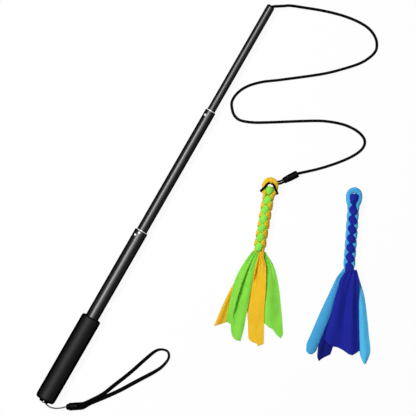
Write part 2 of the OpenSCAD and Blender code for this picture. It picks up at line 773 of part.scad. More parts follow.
module strip_of(stations) {
  path = [for (q = stations) q[0]];
  loft([for (i = [0 : len(path) - 1]) station_ring(stations[i], heading(path, i))]);
}

module front_strip(length) {
  strip_of(concat(
    reversed(led_on(strand_stations(1, 90, true, length))), front_head(),
    led_on(strand_stations(1, -90, true, length))
  ));
}

module side_strip(length) {
  strip_of(concat(
    reversed(led_on(strand_stations(-1, 90, false, length))), side_head(),
    led_on(strand_stations(-1, -90, false, length))
  ));
}

// Tails: each strip's ends spread flat beyond the braid. A tail is given by four stations of its middle line, each
// along from its root and across from the braid's axis as shares of the longest tail, with its width there as a share
// of the full width. Then come the slant of its cut and the point at its end, how high its two edges lie as shares of
// a layer, its folds as a share of the fold height, and their count.

lure_front_left_shares = [
  [[0.124, -0.076, 0.45], [0.349, -0.114, 0.67], [0.6, -0.119, 0.7], [0.856, -0.127, 0.71]], 0.09, 0, [1, 0.05], 1, 2
];
lure_side_left_shares = [
  [[0.153, -0.109, 0.22], [0.356, -0.167, 0.31], [0.61, -0.225, 0.46], [0.812, -0.272, 0.52]], -0.04, 0, [0.05, 0.05], 0.5, 1
];
lure_side_middle_shares = [
  [[0.142, 0.051, 0.37], [0.334, 0.062, 0.55], [0.605, 0.081, 0.6], [0.892, 0.127, 0.64]], 0.03, 0.05, [0.05, 1], 1, 1
];
lure_front_right_shares = [
  [[0.109, 0.123, 0.34], [0.337, 0.207, 0.52], [0.559, 0.25, 0.66], [0.762, 0.297, 0.72]], 0.063, 0, [0.05, 0.05], 0.5, 1
];
spare_front_middle_shares = [
  [[0.096, 0.018, 0.72], [0.285, 0, 0.95], [0.524, -0.006, 1.14], [0.77, -0.011, 1.36]], 0.05, 0, [1, 1.4], 1, 2
];
spare_front_left_shares = [
  [[0.183, -0.058, 0.21], [0.422, -0.116, 0.29], [0.69, -0.181, 0.44], [0.908, -0.198, 0.47]], -0.03, 0.02, [0.05, 0.05], 0.5, 1
];
spare_side_left_shares = [
  [[0.111, -0.12, 0.21], [0.328, -0.192, 0.3], [0.582, -0.268, 0.35], [0.843, -0.353, 0.38]], 0.02, 0.02, [0.05, 0.05], 0.9, 1
];
spare_side_right_shares = [
  [[0.125, 0.109, 0.26], [0.328, 0.167, 0.36], [0.582, 0.203, 0.44], [0.9, 0.238, 0.26]], 0, 0.04, [0.05, 0.05], 0.5, 1
];

root_w_share = 0.8;
root_side_share = 0.46;
root_rise_share = 0.34;
root_fold_share = 0.35;
square_share = 0.2;
drop_share = 0.4;
layer_h = fleece_t + fold_h * low_fold_share + 4 * rest_gap;
tail_steps = 3;
tail_cols = 8;

// A tail's grid of points, above the floor, from a root beside the braid's axis and above or below it
function tail_grid(shape, beside, above, length) = let (
  root = [neck_l + length + braid_r * end_lead_share + 5 * rest_gap, beside * braid_r * root_side_share],
  root_z = braid_rest + above * braid_r * root_rise_share,
  line = curve(concat(
    [concat(root, braid_r * root_w_share / 2)],
    [for (s = shape[0]) [root.x + s[0] * tail_l, s[1] * tail_l, s[2] * tail_w / 2]]
  ), tail_steps),
  last = len(line) - 1
) [for (i = [0 : last]) let (
  along = line[i].x - root.x,
  t = along / (line[last].x - root.x),
  run = line[min(i + 1, last)] - line[max(i - 1, 0)],
  way = unit([run.x, run.y]),
  across = turned(unit(mix([1, 0], way, ease(t / square_share))), 90),
  folds = fold_h * shape[4] * mix(root_fold_share, 1, ease(t))
) [for (j = [0 : tail_cols]) let (
  v = 2 * j / tail_cols - 1,
  reach = tail_l * (shape[1] * v + shape[2] * (1 - v * v)) * t * t,
  plan = [line[i].x, line[i].y] + across * line[i].z * v + way * reach,
  lie = fleece_t / 2 + layer_h * mix(shape[3][0], shape[3][1], (v + 1) / 2),
  fold = folds * (1 - cos(360 * shape[5] * (v + 1) / 2)) / 2
) concat(plan, mix(root_z, lie, ease(along / (tail_l * drop_share))) + fold)]];

module lure_tail(shape, beside, above) {
  translate([lure_eye.x, lure_eye.y, floor_z]) rotate(lure_heading)
    cloth(tail_grid(shape, beside, above, lure_braid_l), fleece_t);
}

module spare_tail(shape, beside, above) {
  translate([spare_eye.x, spare_eye.y, floor_z]) rotate(spare_heading)
    cloth(tail_grid(shape, beside, above, spare_braid_l), fleece_t);
}

module lure_front_tail_left() color(lime) lure_tail(lure_front_left_shares, -1, 1);

module lure_front_tail_right() color(lime) lure_tail(lure_front_right_shares, 1, -1);

module lure_side_tail_left() color(amber) lure_tail(lure_side_left_shares, -1, -1);

module lure_side_tail_middle() color(amber) lure_tail(lure_side_middle_shares, 1, 1);

module spare_front_tail_middle() color(navy) spare_tail(spare_front_middle_shares, 1, 2);

module spare_front_tail_left() color(navy) spare_tail(spare_front_left_shares, -1, 1);

module spare_side_tail_left() color(sky) spare_tail(spare_side_left_shares, -1, -1);

module spare_side_tail_right() color(sky) spare_tail(spare_side_right_shares, 1, -1);

module lure_front_strip() color(lime) at_lure(lure_eye, lure_heading, loop_lift, lure_braid_l) front_strip(lure_braid_l);

module lure_side_strip() color(amber) at_lure(lure_eye, lure_heading, loop_lift, lure_braid_l) side_strip(lure_braid_l);

module spare_front_strip() color(navy) at_lure(spare_eye, spare_heading, 0, spare_braid_l) front_strip(spare_braid_l);

module spare_side_strip() color(sky) at_lure(spare_eye, spare_heading, 0, spare_braid_l) side_strip(spare_braid_l);

grip_sleeve();
lower_tube();
butt_cap();
strap_pin();
lower_mouth_ring();
lower_mouth_bush();
middle_tube();
middle_guide();
upper_mouth_ring();
upper_mouth_bush();
lower_lock_spring();
lower_lock_button();
tip_tube();
tip_guide();
tip_plug();
tip_rivet();
upper_lock_spring();
upper_lock_button();
stop_knot();
bungee_cord();
cord_sleeve();
cord_loop();
strap_thread();
strap_joiner();
strap_webbing();
lure_front_strip();
lure_side_strip();
spare_front_strip();
spare_side_strip();
lure_front_tail_left();
lure_front_tail_right();
lure_side_tail_left();
lure_side_tail_middle();
spare_front_tail_middle();
spare_front_tail_left();
spare_side_tail_left();
spare_side_tail_right();
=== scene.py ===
"""Dresses the packed flirt pole: cords, wrist strap, fleece lures, foam grip, locks and stage."""

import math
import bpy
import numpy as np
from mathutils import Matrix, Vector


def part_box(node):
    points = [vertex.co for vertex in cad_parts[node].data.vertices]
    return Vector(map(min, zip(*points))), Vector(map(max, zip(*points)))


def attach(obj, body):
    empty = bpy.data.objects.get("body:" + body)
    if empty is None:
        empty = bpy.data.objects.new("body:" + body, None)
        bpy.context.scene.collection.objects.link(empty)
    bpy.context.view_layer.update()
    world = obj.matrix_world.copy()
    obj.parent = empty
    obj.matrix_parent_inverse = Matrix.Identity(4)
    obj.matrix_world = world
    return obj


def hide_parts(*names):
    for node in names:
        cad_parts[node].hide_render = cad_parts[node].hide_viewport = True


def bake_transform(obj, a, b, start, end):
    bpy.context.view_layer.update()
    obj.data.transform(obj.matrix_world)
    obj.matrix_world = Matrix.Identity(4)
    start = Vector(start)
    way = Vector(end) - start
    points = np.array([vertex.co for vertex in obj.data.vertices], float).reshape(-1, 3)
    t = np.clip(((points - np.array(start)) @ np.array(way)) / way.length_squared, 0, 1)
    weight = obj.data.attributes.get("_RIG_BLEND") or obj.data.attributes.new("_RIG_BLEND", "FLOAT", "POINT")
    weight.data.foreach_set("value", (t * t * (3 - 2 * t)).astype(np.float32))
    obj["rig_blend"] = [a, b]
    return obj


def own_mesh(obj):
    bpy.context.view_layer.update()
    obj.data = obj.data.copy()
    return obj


bl_info = {
    "name": "Flirt pole dressing",
    "version": (1, 0, 0),
    "blender": (4, 5, 0),
    "location": "3D View > Sidebar > Flirt pole",
    "description": "Makes the soft pieces, finishes and stage of a dog flirt pole on its frame",
    "category": "Object",
}

from collections import namedtuple

import bmesh
import bpy
from bpy.props import FloatProperty, FloatVectorProperty, PointerProperty
from bpy.types import Operator, Panel, PropertyGroup
from mathutils import Matrix, Vector, noise

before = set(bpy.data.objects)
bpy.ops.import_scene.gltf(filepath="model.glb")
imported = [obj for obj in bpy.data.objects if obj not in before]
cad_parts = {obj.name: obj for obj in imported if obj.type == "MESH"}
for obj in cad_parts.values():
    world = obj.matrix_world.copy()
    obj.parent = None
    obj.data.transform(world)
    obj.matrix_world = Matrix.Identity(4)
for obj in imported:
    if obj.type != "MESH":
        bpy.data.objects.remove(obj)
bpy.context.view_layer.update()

MM = 0.001
FULL_TURN = 2 * math.pi
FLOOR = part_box("grip_sleeve")[0][2]
GRIP_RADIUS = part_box("grip_sleeve")[1][2]
TIP_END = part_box("tip_plug")[1][0]


# Settings


class CordSettings(PropertyGroup):
    """Sizes of the bungee, the lure loop and the wrist strap"""

    bungee_diameter: FloatProperty(
        name="Bungee diameter", description="Diameter of the bungee cord",
        default=0.0042, min=0.003, max=0.0042, unit="LENGTH", precision=4,
    )
    loop_diameter: FloatProperty(
        name="Lure loop diameter",
        description="Diameter of the cord that loops through the lure's eye",
        default=0.0031, min=0.002, max=0.0032, unit="LENGTH", precision=4,
    )
    thread_diameter: FloatProperty(
        name="Thread diameter", description="Diameter of the strap's thread at the butt",
        default=0.0021, min=0.001, max=0.0022, unit="LENGTH", precision=4,
    )
    webbing_width: FloatProperty(
        name="Webbing width", description="Width of the wrist strap's webbing",
        default=0.0062, min=0.004, max=0.0064, unit="LENGTH", precision=4,
    )
    webbing_thickness: FloatProperty(
        name="Webbing thickness", description="Thickness of the wrist strap's webbing",
        default=0.0016, min=0.0008, max=0.0018, unit="LENGTH", precision=4,
    )


class FleeceSettings(PropertyGroup):
    """Sizes of the fleece lures"""

    thickness: FloatProperty(
        name="Fleece thickness", description="Thickness of a single layer of fleece",
        default=0.0014, min=0.0008, max=0.002, unit="LENGTH", precision=4,
    )
    braid_diameter: FloatProperty(
        name="Braid diameter", description="Diameter over the braid",
        default=0.0175, min=0.016, max=0.02, unit="LENGTH", precision=4,
    )
    crease_depth: FloatProperty(
        name="Crease depth", description="Depth of the soft creases in a braided strand",
        default=0.0005, min=0, max=0.001, unit="LENGTH", precision=4,
    )
    fold_height: FloatProperty(
        name="Fold height", description="Height of the highest fold in a tail",
        default=0.009, min=0.003, max=0.011, unit="LENGTH", precision=4,
    )


class FinishSettings(PropertyGroup):
    """Colours of the finishes"""

    tube: FloatVectorProperty(
        name="Tube", description="Black anodised tube",
        default=(0.002, 0.002, 0.0022), subtype="COLOR", min=0, max=1,
    )
    foam: FloatVectorProperty(
        name="Foam", description="Black foam grip",
        default=(0.0012, 0.0012, 0.0012), subtype="COLOR", min=0, max=1,
    )
    plastic: FloatVectorProperty(
        name="Plastic", description="Black moulded plastic",
        default=(0.001, 0.001, 0.001), subtype="COLOR", min=0, max=1,
    )
    metal: FloatVectorProperty(
        name="Bare metal", description="Bare metal rings, rivet and buttons",
        default=(0.78, 0.79, 0.8), subtype="COLOR", min=0, max=1,
    )
    nylon: FloatVectorProperty(
        name="Nylon", description="Natural nylon bushes and guides",
        default=(0.62, 0.61, 0.57), subtype="COLOR", min=0, max=1,
    )
    cord: FloatVectorProperty(
        name="Cord", description="Black braided sheath of the cords",
        default=(0.0016, 0.0016, 0.0017), subtype="COLOR", min=0, max=1,
    )
    thread: FloatVectorProperty(
        name="Thread", description="Grey twisted strap thread",
        default=(0.13, 0.13, 0.135), subtype="COLOR", min=0, max=1,
    )
    lime: FloatVectorProperty(
        name="Lime fleece", description="Front strip of the fitted lure",
        default=(0.27, 0.8, 0.075), subtype="COLOR", min=0, max=1,
    )
    amber: FloatVectorProperty(
        name="Amber fleece", description="Side strip of the fitted lure",
        default=(0.95, 0.53, 0.025), subtype="COLOR", min=0, max=1,
    )
    navy: FloatVectorProperty(
        name="Navy fleece", description="Front strip of the spare lure",
        default=(0.015, 0.022, 0.34), subtype="COLOR", min=0, max=1,
    )
    sky: FloatVectorProperty(
        name="Sky fleece", description="Side strip of the spare lure",
        default=(0.075, 0.44, 0.82), subtype="COLOR", min=0, max=1,
    )


class StageSettings(PropertyGroup):
    """The floor, lamps and camera"""

    picture_width: FloatProperty(
        name="Picture width", description="Width of the floor that the camera sees",
        default=0.607, min=0.3, max=2, unit="LENGTH",
    )
    camera_height: FloatProperty(
        name="Camera height", description="Height of the camera above the pole",
        default=3.0, min=1, max=6, unit="LENGTH",
    )
    strip_power: FloatProperty(
        name="Strip lamp", description="Power of the long strip lamp beside the pole",
        default=19, min=0, max=50, unit="POWER",
    )
    top_power: FloatProperty(
        name="Top lamp", description="Power of the broad soft lamp overhead",
        default=18, min=0, max=50, unit="POWER",
    )
    floor: FloatVectorProperty(
        name="Floor", description="Pale floor",
        default=(0.9, 0.9, 0.9), subtype="COLOR", min=0, max=1,
    )


# Sums that the shapes share


def mix(a, b, t):
    return a + (b - a) * t


def ease(t):
    """A smooth rise from 0 at 0 to 1 at 1."""
    c = min(max(t, 0), 1)
    return c * c * (3 - 2 * c)


def ramp(t, start, stretch):
    """A smooth rise from 0 at a start to 1 at the end of a stretch."""
    return ease((t - start) / stretch)


def along_table(table, at):
    """The value at a place in a table of places and values, in line between them."""
    for (a, low), (b, high) in zip(table, table[1:]):
        if at <= b:
            return mix(low, high, (at - a) / (b - a))
    (a, low), (b, high) = table[-2:]
    return mix(low, high, (at - a) / (b - a))


def vectors(points):
    return [Vector(p) for p in points]


def turned(point, degrees):
    x, y = point
    a = math.radians(degrees)
    return Vector((x * math.cos(a) - y * math.sin(a), x * math.sin(a) + y * math.cos(a)))


def at_height(point, z):
    return Vector((point[0], point[1], z))


def placed(spot, z, heading, unit=MM):
    """The matrix that sets a shape down at a spot and a height, turned to a heading."""
    turn = Matrix.Rotation(math.radians(heading), 4, "Z")
    return Matrix.Translation(at_height(spot, z) * unit) @ turn


def smooth_route(points, steps):
    """A smooth curve through points, with a number of steps between each pair."""
    ends = [2 * points[0] - points[1], *points, 2 * points[-1] - points[-2]]
    route = []
    for a, b, c, d in zip(ends, ends[1:], ends[2:], ends[3:]):
        square, cube = 2 * a - 5 * b + 4 * c - d, 3 * b - a - 3 * c + d
        for k in range(steps):
            t = k / steps
            route.append(0.5 * (2 * b + (c - a) * t + square * t ** 2 + cube * t ** 3))
    return route + [points[-1]]


def route_length(route):
    return sum((b - a).length for a, b in zip(route, route[1:]))


# Routes, repeated from the part's source in millimetres

FLOOR_MM = FLOOR / MM
TIP_MM = TIP_END / MM

# The bungee's points from the tip's end, then those on the floor, then the one before its sleeve
BUNGEE_LEAD = [
    (-15, 0, 0), (-10, 0, 0), (-6, 0, 0), (-2, -1.1, 0), (0.8, -3.6, -0.2), (4, -8.3, -1),
    (9, -15.8, -2.8), (14.5, -24, -5), (23, -44, -10.3),
]
BUNGEE_RUN = [
    (696, -67), (703.5, -92), (707.5, -113), (708.5, -131), (706, -145), (699.5, -156.5),
    (691, -163), (682.5, -165), (671, -162), (656, -153.5), (635, -134.5), (614, -112),
    (577.5, -65), (562, -44), (546, -28.5), (530, -20.5), (515, -19.5), (505, -25.5),
    (498.5, -33.5), (497, -44), (503, -60.5), (514.5, -80.5), (547, -132.5), (559.5, -156),
    (567.5, -180.5), (568.5, -202), (562.5, -216.5), (549.5, -219.5), (532.5, -212), (513, -197.5),
]
BUNGEE_CLOSE = (492, -178.2, -11.62)
# The stretch before the sleeve over which the bungee turns with the lure, in metres
BUNGEE_TURN = ((0.478, -0.16, -0.0097), (0.470, -0.16, -0.0097))
# How high the middle of the bungee lies above the floor
CORD_LIE = 2.1
SLEEVE_MOUTH = (471.3, -155.7)
SLEEVE_HEADING = 147
SLEEVE_Z = -9.7
SLEEVE_LENGTH = 23.5
FLARE_DEPTH = 2.8
# How far into the sleeve's flared mouth the bungee shows, clear of it when the lure lifts
CORD_END_SHARE = 0.55

LURE_EYE = (435.9, -129.4)
LURE_HEADING = -159.7
LURE_LIFT = 4.05
SPARE_EYE = (484.5, -243.2)
SPARE_HEADING = -154.2
# How high the middle of a braid lies above the floor
BRAID_REST = 8.85

# The loop's two legs and what joins them under the braid, in the lure's frame
LOOP_FAR_LEG = [
    (-4.2, 11.5, -7.5), (-3.4, 7.4, -6.8), (-2.9, 3.9, -4.9), (-2.6, 1.9, -0.6), (-2.6, 3.4, 4.2),
    (0, 5.6, 6.4), (4.6, 8.3, 6.5), (8.4, 11.4, 3.9), (10, 12.2, -2.5),
]
LOOP_NEAR_LEG = [
    (-7.3, 9.4, -7.5), (-6.2, 4.9, -6.8), (-5, 0.9, -4.9), (-2.9, -1.9, -0.6), (-2.6, -3.4, 4.2),
    (0, -5.6, 6.4), (4.6, -8.3, 6.5), (8.4, -11.4, 3.9), (10, -12.2, -2.5),
]
LOOP_UNDER = [(11.2, 7.4, -10.4), (11.4, 0, -11.3), (11.2, -7.4, -10.4)]
# Where its ends leave the sleeve: half the distance between them, the gap behind them, and how
# far they run straight
LOOP_APART = 1.7
LOOP_GAP = 0.05
LOOP_STRAIGHT = 4.5

PIN_X = -1.76
THREAD_EYE = 1.95
THREAD_EYE_STEPS = 24
THREAD_RUN = [(-4, -6, -0.3), (-5, -12, -2), (-3.5, -19, -5.5), (0.5, -26, -8.6)]
# How far before the joiner the thread's last two points lie
THREAD_ENDS = (2.1, 0.1)
JOINER_PLACE = (6, -32.5)
JOINER_HEADING = -56
JOINER_Z = -9.3
JOINER_LENGTH = 18
# Where the webbing's legs leave the joiner: half the distance between them, the gap behind them,
# and how far along from there their first two points lie
WEBBING_APART = 2.6
WEBBING_GAP = 0.4
WEBBING_ENDS = (-2.4, 4.68)
# How far the webbing's lower edge stays above the floor
WEBBING_LIE = 0.2
WEBBING_RUN = [
    (24.6, -53.9), (31.1, -58.6), (48.6, -69.7), (68, -77.5), (95.5, -88.5), (127, -99),
    (142, -105), (148.5, -111.5), (150.5, -120), (146, -125.5), (138.5, -127), (126.5, -124.5),
    (115, -119), (104.5, -112.5), (87, -101.5), (66, -88.5), (46, -74.2), (29.2, -61.1),
    (21, -56.1),
]
# How high its two legs lie above the floor near the joiner, where one lies on the other, by
# place in the run
WEBBING_STACK = {0: 5.4, 1: 3.4, 2: 3.2, 16: 1.45, 17: 1.45, 18: 3.4}
# The solid webbing's half width and half thickness, and its leans when flat and on edge, in
# degrees
SOLID_WEBBING = (2.6, 0.75)
SOLID_LEANS = (8, 80)
# How far the solid webbing leans from flat to on edge, by share of its length
WEBBING_LEAN = [
    (0, 0.58), (0.09, 0.58), (0.136, 0.5), (0.18, 0.24), (0.227, 0.1), (0.27, 0.38), (0.32, 0.65),
    (0.36, 0.8), (0.41, 1), (0.545, 1), (0.59, 0.8), (0.636, 0.45), (0.68, 0.1), (0.727, 0),
    (0.77, 0), (0.82, 0.24), (0.864, 0.5), (0.91, 0.58), (1, 0.58),
]
# How far the webbing that shows twists from flat, in degrees, by share of its length: nearly
# flat at the joiner, and steepest at the far bend
WEBBING_TWIST = [
    (0, 8), (0.136, 8), (0.227, 20), (0.32, 34), (0.41, 56), (0.545, 56), (0.636, 38),
    (0.727, 20), (0.864, 8), (1, 8),
]


def bungee_route():
    lead = [Vector(p) + Vector((TIP_MM, 0, 0)) for p in BUNGEE_LEAD]
    run = [at_height(p, FLOOR_MM + CORD_LIE) for p in BUNGEE_RUN]
    mouth = Vector(SLEEVE_MOUTH)
    end = mouth + turned((FLARE_DEPTH * CORD_END_SHARE, 0), SLEEVE_HEADING)
    points = [*lead, *run, Vector(BUNGEE_CLOSE), at_height(mouth, SLEEVE_Z)]
    return smooth_route(points, steps=5) + [at_height(end, SLEEVE_Z)]


def loop_route():
    deck = BRAID_REST + LURE_LIFT
    end = Vector(SLEEVE_MOUTH) + turned((SLEEVE_LENGTH + LOOP_GAP, 0), SLEEVE_HEADING)
    side = turned((0, LOOP_APART), SLEEVE_HEADING)
    lead = turned((LOOP_STRAIGHT, 0), SLEEVE_HEADING)

    def from_lure(p):
        return at_height(turned(p - Vector(LURE_EYE), -LURE_HEADING), SLEEVE_Z - FLOOR_MM - deck)

    far = [from_lure(p + side) for p in (end, end + lead)] + vectors(LOOP_FAR_LEG)
    near = [from_lure(p - side) for p in (end, end + lead)] + vectors(LOOP_NEAR_LEG)
    route = smooth_route(far + vectors(LOOP_UNDER) + near[::-1], steps=4)
    place = placed(LURE_EYE, FLOOR_MM + deck, LURE_HEADING, unit=1)
    return [place @ p for p in route]


def thread_route():
    joiner = [
        at_height(Vector(JOINER_PLACE) - turned((back, 0), JOINER_HEADING), JOINER_Z)
        for back in THREAD_ENDS
    ]
    return smooth_route([Vector((PIN_X, -THREAD_EYE, 0)), *vectors(THREAD_RUN), *joiner], steps=5)


def thread_eye_route():
    """A ring round the pin, from where the thread leaves it."""
    turns = [FULL_TURN * i / THREAD_EYE_STEPS for i in range(THREAD_EYE_STEPS + 1)]
    return [
        Vector((PIN_X + THREAD_EYE * math.cos(a), THREAD_EYE * math.sin(a), 0))
        for a in (-math.pi / 2 + turn for turn in turns)
    ]


def webbing_twist(t):
    return along_table(WEBBING_TWIST, t)


def resting(half_width, half_thickness, lean):
    """How high the middle of a flat webbing lies when it leans."""
    a = math.radians(lean)
    return WEBBING_LIE + half_width * math.sin(a) + half_thickness * math.cos(a)


def webbing_route(half_width, half_thickness):
    """The webbing's route, as high above the floor as it leans."""
    end = Vector(JOINER_PLACE) + turned((JOINER_LENGTH + WEBBING_GAP, 0), JOINER_HEADING)
    side = turned((0, WEBBING_APART), JOINER_HEADING)
    leads = [end + turned((lead, 0), JOINER_HEADING) for lead in WEBBING_ENDS]
    out = [at_height(p + side, JOINER_Z) for p in leads]
    back = [at_height(p - side, JOINER_Z) for p in leads[::-1]]
    run, last = [], len(out) + len(WEBBING_RUN) + len(back) - 1
    for i, p in enumerate(WEBBING_RUN):
        t = (i + len(out)) / last
        solid = resting(*SOLID_WEBBING, mix(*SOLID_LEANS, along_table(WEBBING_LEAN, t)))
        shown = resting(half_width, half_thickness, webbing_twist(t))
        lie = WEBBING_STACK.get(i) or max(solid, shown)
        run.append(at_height(p, FLOOR_MM + lie))
    return smooth_route([*out, *run, *back], steps=4)


# Mesh tools

# The distance within which two vertices are one, in metres
WELD = 1e-7
# Half a turn around a sweep, in turns
HALF_ROUND = 0.5


def new_verts(geometry):
    return [g for g in geometry if isinstance(g, bmesh.types.BMVert)]


def headings(route):
    last = len(route) - 1
    return [
        (route[min(i + 1, last)] - route[max(i - 1, 0)]).normalized() for i in range(last + 1)
    ]


def section(place, across, up, way):
    """The matrix that sets a unit circle at a place, on two half axes."""
    m = Matrix.Identity(4)
    for column, v in enumerate((across, up, way, place)):
        m.col[column][:3] = v
    return m


def cord_sections(route, half_width, half_thickness, lean):
    """Sections of a cord along a route in millimetres, each upright carried on from the last."""
    half_thickness = half_thickness or half_width
    sections, up = [], Vector((0, 0, 1))
    for i, (p, way) in enumerate(zip(route, headings(route))):
        up = (up - way * up.dot(way)).normalized()
        flat = up.cross(way)
        a = math.radians(lean(i / (len(route) - 1))) if lean else 0
        across = flat * math.cos(a) + up * math.sin(a)
        rise = up * math.cos(a) - flat * math.sin(a)
        sections.append(section(p * MM, across * half_width, rise * half_thickness, way))
    return sections


def sweep(bm, sections, sides, square=1.0):
    """Sweeps a circle, or a squarer round, through sections, and marks how far along and around."""
    along = bm.verts.layers.float.new("along")
    around = bm.verts.layers.float.new("around")
    ring = bmesh.ops.create_circle(bm, cap_ends=False, segments=sides, radius=1)["verts"]
    for v in ring:
        v[around] = math.atan2(v.co.y, v.co.x) / FULL_TURN % 1
        v.co = [math.copysign(abs(c) ** square, c) for c in v.co]
    bmesh.ops.transform(bm, matrix=sections[0], verts=ring)
    edges = list(dict.fromkeys(e for v in ring for e in v.link_edges))
    bmesh.ops.contextual_create(bm, geom=edges)
    travel = 0
    for before, after in zip(sections, sections[1:]):
        travel += (after.translation - before.translation).length
        grown = bmesh.ops.extrude_edge_only(bm, edges=edges)["geom"]
        ring = new_verts(grown)
        new = set(ring)
        edges = [g for g in grown if isinstance(g, bmesh.types.BMEdge) and new.issuperset(g.verts)]
        bmesh.ops.transform(bm, matrix=after @ before.inverted(), verts=ring)
        for v in ring:
            v[along] = travel
    bmesh.ops.contextual_create(bm, geom=edges)


def unwrap_sweep(bm):
    """Gives a sweep a UV map: metres along, and turns around."""
    along = bm.verts.layers.float["along"]
    around = bm.verts.layers.float["around"]
    uv = bm.loops.layers.uv.new("Length")
    for face in bm.faces:
        turns = [v[around] for v in face.verts]
        split = max(turns) - min(turns) > HALF_ROUND
        for loop in face.loops:
            a = loop.vert[around]
            loop[uv].uv = (loop.vert[along], a + 1 if split and a < HALF_ROUND else a)


def finished(bm, name, material, body, sharp=None):
    """Turns a bmesh into a piece that rides on a body, or on none yet."""
    bmesh.ops.remove_doubles(bm, verts=bm.verts, dist=WELD)
    bmesh.ops.recalc_face_normals(bm, faces=bm.faces)
    mesh = bpy.data.meshes.new(name)
    bm.to_mesh(mesh)
    bm.free()
    mesh.shade_smooth()
    if sharp:
        mesh.set_sharp_from_angle(angle=math.radians(sharp))
    mesh.materials.append(material)
    piece = bpy.data.objects.new(name, mesh)
    bpy.context.scene.collection.objects.link(piece)
    if body:
        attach(piece, body)
    return piece


def subdivide(piece, levels):
    modifier = piece.modifiers.new("Soft surface", "SUBSURF")
    modifier.levels = modifier.render_levels = levels


def swept_cord(
    name, route, half_width, material, body, sides,
    half_thickness=None, lean=None, square=1.0,
):
    """A cord, or a webbing where it has a half thickness of its own, along a route."""
    bm = bmesh.new()
    sweep(bm, cord_sections(route, half_width, half_thickness, lean), sides, square)
    unwrap_sweep(bm)
    return finished(bm, name, material, body)


# Shader tools

# Sockets of a Mix node that mixes two colours
MIX_FACTOR, MIX_FIRST, MIX_SECOND, MIX_RESULT = 0, 6, 7, 2


class Shader:
    """A material being built: its nodes, its links and its principled shader."""

    def __init__(self, name, **sockets):
        self.material = bpy.data.materials.new(name)
        self.material.use_nodes = True
        self.tree = self.material.node_tree
        self.shader = self.tree.nodes["Principled BSDF"]
        for socket, value in sockets.items():
            self.shader.inputs[socket.replace("_", " ")].default_value = value

    def node(self, kind, inputs=None, **settings):
        return add_node(self.tree, kind, inputs, **settings)

    def link(self, source, target):
        self.tree.links.new(source, target)

    def feed(self, source, socket):
        self.link(source, self.shader.inputs[socket])

    def group(self, make, vector, **values):
        """Places a shared node group, with its own values."""
        inputs = {"Vector": vector, **values}
        return self.node("ShaderNodeGroup", inputs, node_tree=shared_group(make)).outputs

    def object_place(self):
        return self.node("ShaderNodeTexCoord").outputs["Object"]

    def uv_place(self):
        return self.node("ShaderNodeUVMap", uv_map="Length").outputs["UV"]

    def shades(self, mask, colour, dark, light):
        """Feeds a colour between its own darker and lighter shade by a mask."""
        first, second = ((*scaled(colour, share), 1) for share in (dark, light))
        inputs = {MIX_FACTOR: mask, MIX_FIRST: first, MIX_SECOND: second}
        node = self.node("ShaderNodeMix", inputs, data_type="RGBA")
        self.feed(node.outputs[MIX_RESULT], "Base Color")

    def roughness(self, mask, low, high):
        """Feeds a roughness between two by a mask."""
        node = self.node("ShaderNodeMapRange", {"Value": mask, "To Min": low, "To Max": high})
        self.feed(node.outputs["Result"], "Roughness")

    def edge_gloss(self, level, reach):
        """Makes the gloss fall off, from a level on faces towards the eye to none near the edge."""
        facing = self.node("ShaderNodeLayerWeight", {"Blend": 0.5}).outputs["Facing"]
        inputs = {"Value": facing, "From Max": reach, "To Min": level, "To Max": 0.0}
        gloss = self.node("ShaderNodeMapRange", inputs, interpolation_type="SMOOTHSTEP")
        self.feed(gloss.outputs["Result"], "Specular IOR Level")

    def bump(self, height, distance, strength):
        inputs = {"Strength": strength, "Distance": distance, "Height": height}
        self.feed(self.node("ShaderNodeBump", inputs).outputs["Normal"], "Normal")


def add_node(tree, kind, inputs=None, **settings):
    """Adds a node with its settings, and links or sets its inputs."""
    node = tree.nodes.new(kind)
    for name, value in settings.items():
        setattr(node, name, value)
    for socket, value in (inputs or {}).items():
        if hasattr(value, "is_output"):
            tree.links.new(value, node.inputs[socket])
        else:
            node.inputs[socket].default_value = value
    return node


def new_group(name, inputs, outputs):
    """A node group with a vector input, named values and named outputs."""
    group = bpy.data.node_groups.new(name, "ShaderNodeTree")
    sockets = group.interface
    sockets.new_socket("Vector", in_out="INPUT", socket_type="NodeSocketVector")
    for socket, default in inputs.items():
        made = sockets.new_socket(socket, in_out="INPUT", socket_type="NodeSocketFloat")
        made.default_value = default
    for socket in outputs:
        sockets.new_socket(socket, in_out="OUTPUT", socket_type="NodeSocketFloat")
    given = group.nodes.new("NodeGroupInput").outputs
    return group, given, group.nodes.new("NodeGroupOutput").inputs


def maths(tree, operation, a, b=0.0):
    return add_node(tree, "ShaderNodeMath", {0: a, 1: b}, operation=operation).outputs[0]


def speckle(group, vector, scale, detail, **more):
    """A mask of soft noise."""
    inputs = {"Vector": vector, "Scale": scale, "Detail": detail, **more}
    return add_node(group, "ShaderNodeTexNoise", inputs).outputs["Fac"]


def wave(group, turns):
    return maths(group, "SINE", maths(group, "MULTIPLY", turns, FULL_TURN))


def cross_waves(group, waves, shade, height):
    """Crosses two waves, for a shade from 0 to 1 and a height."""
    cross = maths(group, "MULTIPLY", *waves)
    group.links.new(maths(group, "ADD", maths(group, "MULTIPLY", cross, 0.5), 0.5), shade)
    group.links.new(maths(group, "ABSOLUTE", cross), height)


def fleece_nap():
    """Curled nap and broad unevenness of fleece."""
    group, given, out = new_group(
        "Fleece nap", {"Curls": 700.0, "Patches": 70.0}, ["Shade", "Height"],
    )
    curls = speckle(
        group, given["Vector"], given["Curls"], detail=3.0, Roughness=0.6, Distortion=0.6,
    )
    patches = speckle(group, given["Vector"], given["Patches"], detail=2.0)
    shares = maths(group, "MULTIPLY", curls, 0.55), maths(group, "MULTIPLY", patches, 0.45)
    group.links.new(maths(group, "ADD", *shares), out["Shade"])
    group.links.new(curls, out["Height"])
    return group


